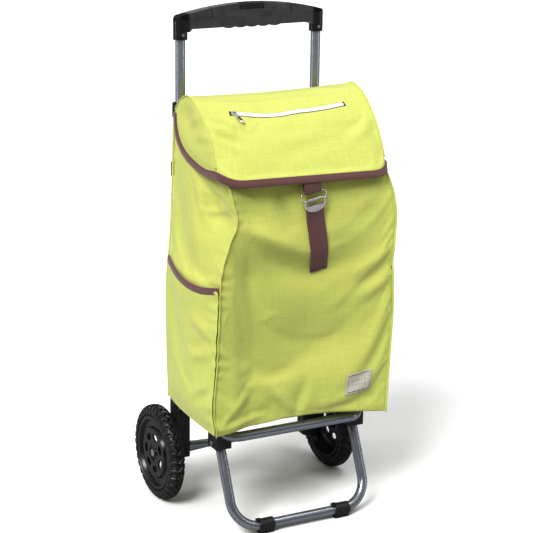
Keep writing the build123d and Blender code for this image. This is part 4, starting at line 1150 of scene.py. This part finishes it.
def plate(name, outline, holes, plane, thickness, material, rounding=0.0003):
    """A flat plate with rounded edges, from a loop and holes in the plane's (across, up) axes."""
    origin, across, up, out = plane
    curve = bpy.data.curves.new(name, "CURVE")
    curve.dimensions = "2D"
    curve.fill_mode = "BOTH"
    curve.extrude = max(thickness / 2 - rounding, 0.0)
    curve.bevel_depth = rounding
    curve.bevel_resolution = 2
    curve.offset = -rounding
    for loop in [outline, *holes]:
        spline = curve.splines.new("POLY")
        spline.points.add(len(loop) - 1)
        flat = np.column_stack([loop, np.zeros(len(loop)), np.ones(len(loop))])
        spline.points.foreach_set("co", flat.ravel())
        spline.use_cyclic_u = True
    shape = bpy.data.objects.new(name + "_curve", curve)
    mesh = bpy.data.meshes.new_from_object(shape)
    bpy.data.objects.remove(shape)
    matrix = Matrix(
        [[across[k], up[k], out[k], origin[k]] for k in range(3)] + [[0, 0, 0, 1]]
    )
    mesh.transform(matrix)
    mesh.materials.clear()
    mesh.materials.append(material)
    piece = bpy.data.objects.new(name, mesh)
    bpy.context.scene.collection.objects.link(piece)
    mesh.shade_smooth()
    modify(piece, "EDGE_SPLIT", split_angle=math.radians(50))
    return piece


def node_plane(node, lean, slope, tree, lift):
    """Axes of a piece that lies on the lid where its node is, leaning by an angle."""
    centre = middle(node)
    place, _ = slope_at(tree, centre.x, centre.y - UPRIGHT_Y)
    centre = Vector(place) + lift * Vector((0, -math.sin(slope), math.cos(slope)))
    out = Vector((0, -math.sin(slope), math.cos(slope)))
    across = Vector((1, 0, 0))
    up = out.cross(across)
    turned = across * math.cos(lean) + up * math.sin(lean)
    return centre, turned, out.cross(turned), out


def build_slider_and_pull(tree):
    """The zip's slider with its bridge, and the pull tab with its dark inset."""
    chrome = MATERIALS["chrome"]
    slope, lean = math.radians(34), math.radians(20)
    centre, across, up, out = node_plane("zip_slider", 0.0, slope, tree, 0.0030)
    body = [(-0.0052, -0.0030), (0.0045, -0.0040), (0.0045, 0.0040), (-0.0052, 0.0030)]
    low_plane = (centre - out * 0.0006, across, up, out)
    slider = plate("slider_body", bar_outline(body, 0.0018), [], low_plane, 0.0026, chrome, 0.0007)
    arch = rectangle(-0.0032, -0.0011, 0.0030, 0.0011, 0.0009)
    high_plane = (centre + out * 0.0014, across, up, out)
    bridge = plate("slider_bridge", arch, [], high_plane, 0.0020, chrome, 0.0007)

    centre, across, up, out = node_plane("zip_puller", lean, slope, tree, 0.0036)
    tab_corners = [
        (-0.0022, -0.0105), (0.0022, -0.0105), (0.0032, -0.004),
        (0.0026, 0.0105), (-0.0026, 0.0105), (-0.0032, -0.004),
    ]
    eye = rectangle(-0.0013, 0.0065, 0.0013, 0.0092, 0.0010)[::-1]
    plane = (centre, across, up, out)
    tab = plate("pull_tab", bar_outline(tab_corners, 0.0013), [eye], plane, 0.0013, chrome, 0.0004)
    inset_corners = [(-0.0019, -0.0052), (0.0019, -0.0052), (0.0016, 0.0050), (-0.0016, 0.0050)]
    plane = (centre + out * 0.0008, across, up, out)
    inset_loop = bar_outline(inset_corners, 0.0009)
    inset = plate("pull_inset", inset_loop, [], plane, 0.0006, MATERIALS["gloss"], 0.0002)
    return slider, bridge, tab, inset


# ------------------------------------------------------------ strap and buckle

STRAP_LEAN = math.radians(9)
STRAP_X, STRAP_Z = 0.008, 0.6055
STRAP_WIDTH = 0.0335
STRAP_END = -0.126              # the strap's lower end, measured along it from the buckle


def strap_points(along):
    """X and Z down the leaning strap; along is measured up from the buckle."""
    return STRAP_X - along * math.sin(STRAP_LEAN), STRAP_Z + along * math.cos(STRAP_LEAN)


def strap_frame(depth):
    """The buckle's plane, at a depth measured from the uprights."""
    origin = Vector((STRAP_X, UPRIGHT_Y + depth, STRAP_Z))
    across = Vector((math.cos(STRAP_LEAN), 0, math.sin(STRAP_LEAN)))
    out = Vector((0, -1, 0))
    return origin, across, out.cross(across), out


def build_straps(bag_tree):
    """The closing strap sewn down the bag's front, in two layers, with its stitched end."""
    brown, half = MATERIALS["brown"], STRAP_WIDTH / 2
    places = np.linspace(STRAP_END, 0.002, 40)
    x, z = strap_points(places)
    surface = smoothed(front_hits(bag_tree, x, z, 0.0), 12)
    target = UPRIGHT_Y - 0.2395
    weight = ease(-0.05, 0.0, places)
    surface[:, 1] = surface[:, 1] * (1 - weight) + np.minimum(surface[:, 1], target) * weight
    normals = facing_front(len(places))
    section = tape_section(-half - 0.0012, half + 0.0004, 0.0015, 0.0)
    under = sweep("strap_under", surface + [0, -0.0006, 0], normals, section, brown)
    section = tape_section(-half, half, 0.0016, 0.0)
    over = sweep("strap_over", surface[2:] + [0, -0.0024, 0], normals[2:], section, brown)
    end = []
    for k, offset in enumerate((0.006, 0.012)):
        px, pz = strap_points(STRAP_END + offset)
        step = np.linspace(-0.0135, 0.0135, 9)[:, None]
        line = [px, 0, pz] + step * [math.cos(STRAP_LEAN), 0, math.sin(STRAP_LEAN)]
        line[:, 1] = np.interp(line[:, 2], surface[:, 2], surface[:, 1]) - 0.0041
        thread = MATERIALS["brown_thread"]
        end.append(stitches(f"strap_stitches_{k}", line, facing_front(9), thread, pitch=0.0028))
    return under, over, end


def build_upper_strap():
    """The short strap from inside the lid's edge, folded round the ring's top bar."""
    half = STRAP_WIDTH / 2
    route = [
        (0.051, -0.2345), (0.040, -0.2365), (0.0270, -0.2385), (0.0232, -0.2400), (0.0222, -0.2412),
        (0.0232, -0.2426), (0.0270, -0.2434), (0.036, -0.2434), (0.046, -0.2418), (0.051, -0.2400),
    ]
    points = []
    for along, depth in route:
        x, z = strap_points(along)
        points.append(at(x, depth, z))
    line = resampled(np.array(points), 0.0012)
    line = smoothed(line, 3)
    tangent = unit(np.gradient(line, axis=0))
    across = np.array([math.cos(STRAP_LEAN), 0.0, math.sin(STRAP_LEAN)])
    normals = unit(np.cross(tangent, across))
    section = tape_section(-half, half, 0.0014, -0.0007)
    return sweep("strap_upper", line, normals, section, MATERIALS["brown"])


def build_buckle():
    """The wire ring on the upper strap, and the hook plate that its lip holds to the ring."""
    chrome = MATERIALS["chrome"]
    origin, across, up, out = strap_frame(-0.2406)
    ring_up = 0.017
    loop = rectangle(-0.0250, -0.0070, 0.0250, 0.0070, 0.0052)
    path = np.array([np.array(origin + across * float(a) + up * float(ring_up + b)) for a, b in loop])
    normals = np.tile(np.array(out), (len(path), 1))
    ring = sweep("ring_wire", path, normals, round_section(0.00125, 10), chrome, closed=True)
    modify(ring, "SUBSURF", levels=1, render_levels=1)
    corners = [
        (-0.0212, 0.0138), (0.0212, 0.0138), (0.0222, 0.0030), (0.0150, -0.0082), (0.0, -0.0118),
        (-0.0150, -0.0082), (-0.0222, 0.0030),
    ]
    outline = bar_outline(corners, 0.0046)
    window = rectangle(-0.0178, 0.0006, 0.0178, 0.0106, 0.0020)[::-1]
    hook = plate("hook_face", outline, [window], strap_frame(-0.2433), 0.0018, chrome, 0.0007)
    lip_loop = rectangle(-0.0150, 0.0123, 0.0150, 0.0138, 0.0006)
    lip = plate("hook_lip", lip_loop, [], strap_frame(-0.2405), 0.0038, chrome, 0.0004)
    return ring, hook, lip


# ------------------------------------------------------------------------ label

def build_label(bag_tree):
    """The sewn patch: its cloth, a border and two rows of plain printed dots, and its stitches."""
    low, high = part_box("label_patch")
    columns, rows = 27, 21
    x, z = np.meshgrid(np.linspace(low.x, high.x, columns), np.linspace(low.z, high.z, rows))
    across, up = x - (low.x + high.x) / 2, z - (low.z + high.z) / 2
    x, z = x + 0.11 * up, z + 0.095 * across
    points = front_hits(bag_tree, x, z, 0.0009)
    patch = grid_piece("label_cloth", points, MATERIALS["label"])
    modify(patch, "SOLIDIFY", thickness=0.0011, offset=0.6)
    modify(patch, "SUBSURF", levels=1, render_levels=1, boundary_smooth="PRESERVE_CORNERS")

    dots = [(r, c) for c in range(2, columns - 2) for r in (2, rows - 3)]
    dots += [(r, c) for r in range(4, rows - 4, 2) for c in (2, columns - 3)]
    dots += [(r, c) for r in (8, 12) for c in range(7, columns - 6, 3)]
    turn = np.linspace(0, 2 * math.pi, 9)[:-1]
    dot_points, dot_faces = [], []
    for k, (r, c) in enumerate(dots):
        centre = points[r, c] + np.array([0, -0.0009, 0])
        size = 0.0008 + 0.0006 * ((k * 7) % 5) / 5
        first = len(dot_points)
        dot_points += [centre + np.array([math.cos(t) * size, 0, math.sin(t) * size]) for t in turn]
        dot_points.append(centre + np.array([0, -0.00025, 0]))
        dot_faces += [(first + j, first + (j + 1) % 8, first + 8) for j in range(8)]
    ink = new_piece("label_dots", dot_points, dot_faces, MATERIALS["label_ink"])

    sides = [points[1, 1:-1], points[1:-1, -2], points[-2, 1:-1][::-1], points[1:-1, 1][::-1]]
    rim = np.concatenate(sides) + [0, -0.0007, 0]
    normals = facing_front(len(rim))
    thread = stitches("label_stitches", rim, normals, MATERIALS["label"], pitch=0.0026, radius=0.00025)
    return patch, ink, thread


# ---------------------------------------------------------------------- wheels

def tyre(name, sign):
    """A tyre with staggered shoulder lugs and a zigzag groove round the crown."""
    low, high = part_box(f"tyre_{name}")
    centre = np.array((low + high) / 2)
    radius = (high.z - low.z) / 2
    half = (high.x - low.x) / 2
    lugs, steps = 34, 12
    turns = lugs * steps
    shoulder = np.linspace(0.8, 1, 4)[1:]
    w = np.concatenate([-shoulder[::-1], np.linspace(-0.8, 0.8, 31), shoulder])
    crown = radius - 0.0095 * np.abs(w) ** 3.2
    angle = np.arange(turns) * 2 * math.pi / turns
    phase = (np.arange(turns) / steps)[:, None]
    wide = w[None, :]
    zigzag = 0.30 * (2 * np.abs(2 * (phase % 1) - 1) - 1)
    groove = hump(wide, zigzag, 0.10)
    for edge_sign, shift in ((-1, 0.0), (1, 0.5)):
        local = (phase + shift) % 1
        cut = ease(0.62, 0.70, local) * (1 - ease(0.92, 1.0, local))
        groove = np.maximum(groove, cut * ease(0.34, 0.46, edge_sign * wide))
        slant = (phase + shift + 0.35 * edge_sign * wide) % 1
        sipe = hump(slant, 0.30, 0.045) * ease(0.40, 0.50, edge_sign * wide)
        groove = np.maximum(groove, 0.6 * sipe)
    r = crown[None, :] - 0.0036 * groove
    x = np.tile(half * wide, (turns, 1))
    bead_x = np.array([1.0, 0.985, 0.78, 0.70]) * half
    bead_r = radius - np.array([0.0125, 0.0170, 0.0185, 0.0215])
    right_r, right_x = np.tile(bead_r, (turns, 1)), np.tile(bead_x, (turns, 1))
    rim_lift = 0.0009 * (np.sin(phase * 2 * math.pi) > 0)
    right_x[:, 0] -= rim_lift[:, 0]
    profile_r = np.concatenate([right_r[:, ::-1], r, right_r], axis=1)
    profile_x = np.concatenate([-right_x[:, ::-1], x, right_x], axis=1)
    points = np.stack(
        [
            centre[0] + sign * profile_x,
            centre[1] + profile_r * np.sin(angle)[:, None],
            centre[2] + profile_r * np.cos(angle)[:, None],
        ],
        axis=-1,
    )
    rows, columns = points.shape[:2]
    faces = grid_faces(rows, columns, wrap_rows=True, wrap_columns=True)
    if sign < 0:
        faces = [tuple(reversed(face)) for face in faces]
    piece = new_piece(f"tyre_tread_{name}", points.reshape(-1, 3), faces, MATERIALS["rubber"])
    modify(piece, "EDGE_SPLIT", split_angle=math.radians(42))
    return piece


# ------------------------------------------------------------------- bag loops

def build_loops():
    """Webbing loops that hang the bag on the outer tubes, upper and lower."""
    pieces = {"upper": [], "lower": []}
    low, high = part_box("bag_loops")
    height = 0.026
    tube_r = 0.0112
    for level, z in (("lower", low.z + height / 2), ("upper", high.z - height / 2)):
        for name, sign in SIDES:
            turn = np.linspace(-0.62 * math.pi, 0.62 * math.pi, 30)
            x = sign * UPRIGHT_X + (tube_r + 0.0006) * np.sin(turn)
            y = (tube_r + 0.0006) * np.cos(turn)
            tail_x = sign * UPRIGHT_X + np.array([-0.026, -0.018, -0.012])
            tail_y = np.array([BAG_BACK + 0.0008, BAG_BACK + 0.0012, -0.0105])
            xs = np.concatenate([tail_x, x, 2 * sign * UPRIGHT_X - tail_x[::-1]])
            ys = np.concatenate([tail_y, y, tail_y[::-1]])
            line = smoothed(resampled(at(xs, ys, z), 0.002), 2)
            centre = at(sign * UPRIGHT_X, -0.004, z)
            normals = unit((line - centre) * np.array([1, 1, 0]))
            section = tape_section(-height / 2, height / 2, 0.0012)
            loop = sweep(f"hanging_loop_{level}_{name}", line, normals, section, MATERIALS["brown"])
            pieces[level].append(loop)
    return pieces


BOARD_GAP = 0.022               # the bag's front sags in that far over the board


def build_board():
    """The stiff board that lies in the bottom of the bag."""
    low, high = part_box("bottom_board")
    front = low.y + BOARD_GAP
    loop = bar_outline([(low.x, front), (high.x, front), (high.x, high.y), (low.x, high.y)], 0.015)
    plane = (Vector((0, 0, 0.2135)), Vector((1, 0, 0)), Vector((0, 1, 0)), Vector((0, 0, 1)))
    return plate("base_board", loop, [], plane, 0.003, MATERIALS["board"], 0.0008)


# -------------------------------------------------------------- light and view

def build_stage():
    """A pale floor, light from the left and above, and strips that draw lines on the tubes."""
    floor_material, tree, shader = start_material("floor", (0.97, 0.97, 0.97), 0.9, Specular_IOR_Level=0.1)
    seen = node(tree, "ShaderNodeLightPath").outputs["Is Camera Ray"]
    pale = colour_between(tree, seen, FLOOR_BOUNCE, FLOOR_COLOUR)
    tree.links.new(pale, shader.inputs["Base Color"])
    mesh = bpy.data.meshes.new("floor")
    size = 40.0
    corners = [(-size, -size, 0), (size, -size, 0), (size, size, 0), (-size, size, 0)]
    mesh.from_pydata(corners, [], [(0, 1, 2, 3)])
    mesh.materials.append(floor_material)
    floor = bpy.data.objects.new("floor", mesh)
    bpy.context.scene.collection.objects.link(floor)
    world = bpy.data.worlds.new("studio")
    world.use_nodes = True
    tree = world.node_tree
    direction = node(tree, "ShaderNodeTexCoord").outputs["Generated"]
    height = node(tree, "ShaderNodeSeparateXYZ", {"Vector": direction}).outputs["Z"]
    glow = combine(tree, "MULTIPLY", height, height)
    tree.links.new(glow, tree.nodes["Background"].inputs["Color"])
    tree.nodes["Background"].inputs["Strength"].default_value = WORLD_LIGHT
    bpy.context.scene.world = world
    key = bpy.data.lights.new("key", "SUN")
    key.energy = KEY_LIGHT
    key.angle = math.radians(24)
    place_light(key, (-0.58, -0.42, 0.70), Vector((0, 0, 0)))
    target = Vector((0, 0, 0.55))
    for name, place, size, length, power in (
        ("strip_left", (-1.9, 0.5, 0.9), 0.22, 2.2, 8.0),
        ("strip_right", (1.7, -1.2, 0.9), 0.16, 2.2, 8.0),
        ("overhead", (0.9, -0.5, 2.5), 0.9, 0.5, 9.0),
    ):
        lamp = bpy.data.lights.new(name, "AREA")
        lamp.shape = "RECTANGLE"
        lamp.size = size
        lamp.size_y = length
        lamp.energy = power
        place_light(lamp, place, target)
    bpy.context.scene.view_settings.view_transform = "Standard"
    bpy.context.scene.view_settings.gamma = 0.78


def place_light(lamp, place, target):
    light = bpy.data.objects.new(lamp.name, lamp)
    light.location = place
    light.rotation_mode = "QUATERNION"
    light.rotation_quaternion = (Vector(place) - target).to_track_quat("Z", "Y")
    bpy.context.scene.collection.objects.link(light)


def build_camera():
    azimuth, elevation, roll = math.radians(-27.85), math.radians(16.25), math.radians(0.776)
    back = Vector(
        (
            math.sin(azimuth) * math.cos(elevation),
            -math.cos(azimuth) * math.cos(elevation),
            math.sin(elevation),
        )
    )
    right = Vector((math.cos(azimuth), math.sin(azimuth), 0))
    up = back.cross(right)
    across = right * math.cos(roll) + up * math.sin(roll)
    upward = up * math.cos(roll) - right * math.sin(roll)
    place = Vector((-1.4496, -2.8230 + UPRIGHT_Y, 1.3571))
    lens = bpy.data.cameras.new("camera")
    lens.sensor_width = 36.0
    lens.lens = 118.36
    lens.clip_start = 0.1
    lens.clip_end = 100.0
    camera = bpy.data.objects.new("camera", lens)
    camera.matrix_world = Matrix(
        [[across[k], upward[k], back[k], place[k]] for k in range(3)] + [[0, 0, 0, 1]]
    )
    bpy.context.scene.collection.objects.link(camera)
    bpy.context.scene.camera = camera


# ------------------------------------------------------------------- assemble


def crumple(piece):
    """Gives the piece a mesh of its own."""
    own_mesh(piece)


def main():
    build_camera()
    build_stage()
    dress_cad_nodes()

    bag, ring, starts = bag_shell()
    tree = surface_of(bag)
    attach(bag, "frame")
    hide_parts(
        "bag_front_panel", "bag_side_panel_left", "bag_side_panel_right",
        "bag_back_panel", "bag_bottom_panel",
    )
    welts = seam_welts(ring, starts)
    board = build_board()
    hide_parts("bottom_board")
    pockets = side_pockets()
    label, ink, label_thread = build_label(tree)
    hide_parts("label_patch")
    under, over, strap_ends = build_straps(tree)
    upper = build_upper_strap()
    ring_wire, hook, lip = build_buckle()
    loops = build_loops()

    straps = [under, over, *strap_ends, *loops["upper"], *loops["lower"]]
    for piece in [*welts, board, label, ink, label_thread, *straps]:
        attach(piece, "frame")
    for name, pocket, tape, thread in pockets:
        for piece in (pocket, tape, thread):
            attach(piece, "frame")
        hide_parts(f"side_pocket_{name}")
        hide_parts(f"pocket_binding_{name}")
    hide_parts("bag_loops")
    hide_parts("lower_strap")

    cloths, seams, bindings, bend, lid_tree = build_lid()
    outline, zip_cloth, teeth = build_zip(lid_tree)
    slider, bridge, tab, inset = build_slider_and_pull(lid_tree)
    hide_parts("lid_panel", "lid_rear_strip")
    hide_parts("lid_gusset_left")
    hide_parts("lid_gusset_right")
    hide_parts("lid_binding")
    for piece in (*cloths, *seams, *bindings):
        apply_modifiers(piece)
        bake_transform(piece)
    for piece in (outline, zip_cloth, teeth, upper, ring_wire):
        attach(piece, "lid")
    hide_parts("zip_tape")
    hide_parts("upper_strap")
    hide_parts("buckle_ring")
    for piece in (slider, bridge):
        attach(piece, "slider")
    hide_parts("zip_slider")
    for piece in (tab, inset):
        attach(piece, "puller")
    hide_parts("zip_puller")
    for piece in (hook, lip):
        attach(piece, "buckle_hook")
    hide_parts("hook_plate")

    for name, sign in SIDES:
        tread = tyre(name, sign)
        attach(tread, f"wheel_{name}")
        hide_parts(f"tyre_{name}")

    soft = [bag, *welts, label, ink, label_thread, *loops["lower"]]
    for _, pocket, tape, thread in pockets:
        soft += [pocket, tape, thread]
    for piece in (*soft, board):
        apply_modifiers(piece)
        crumple(piece)


main()
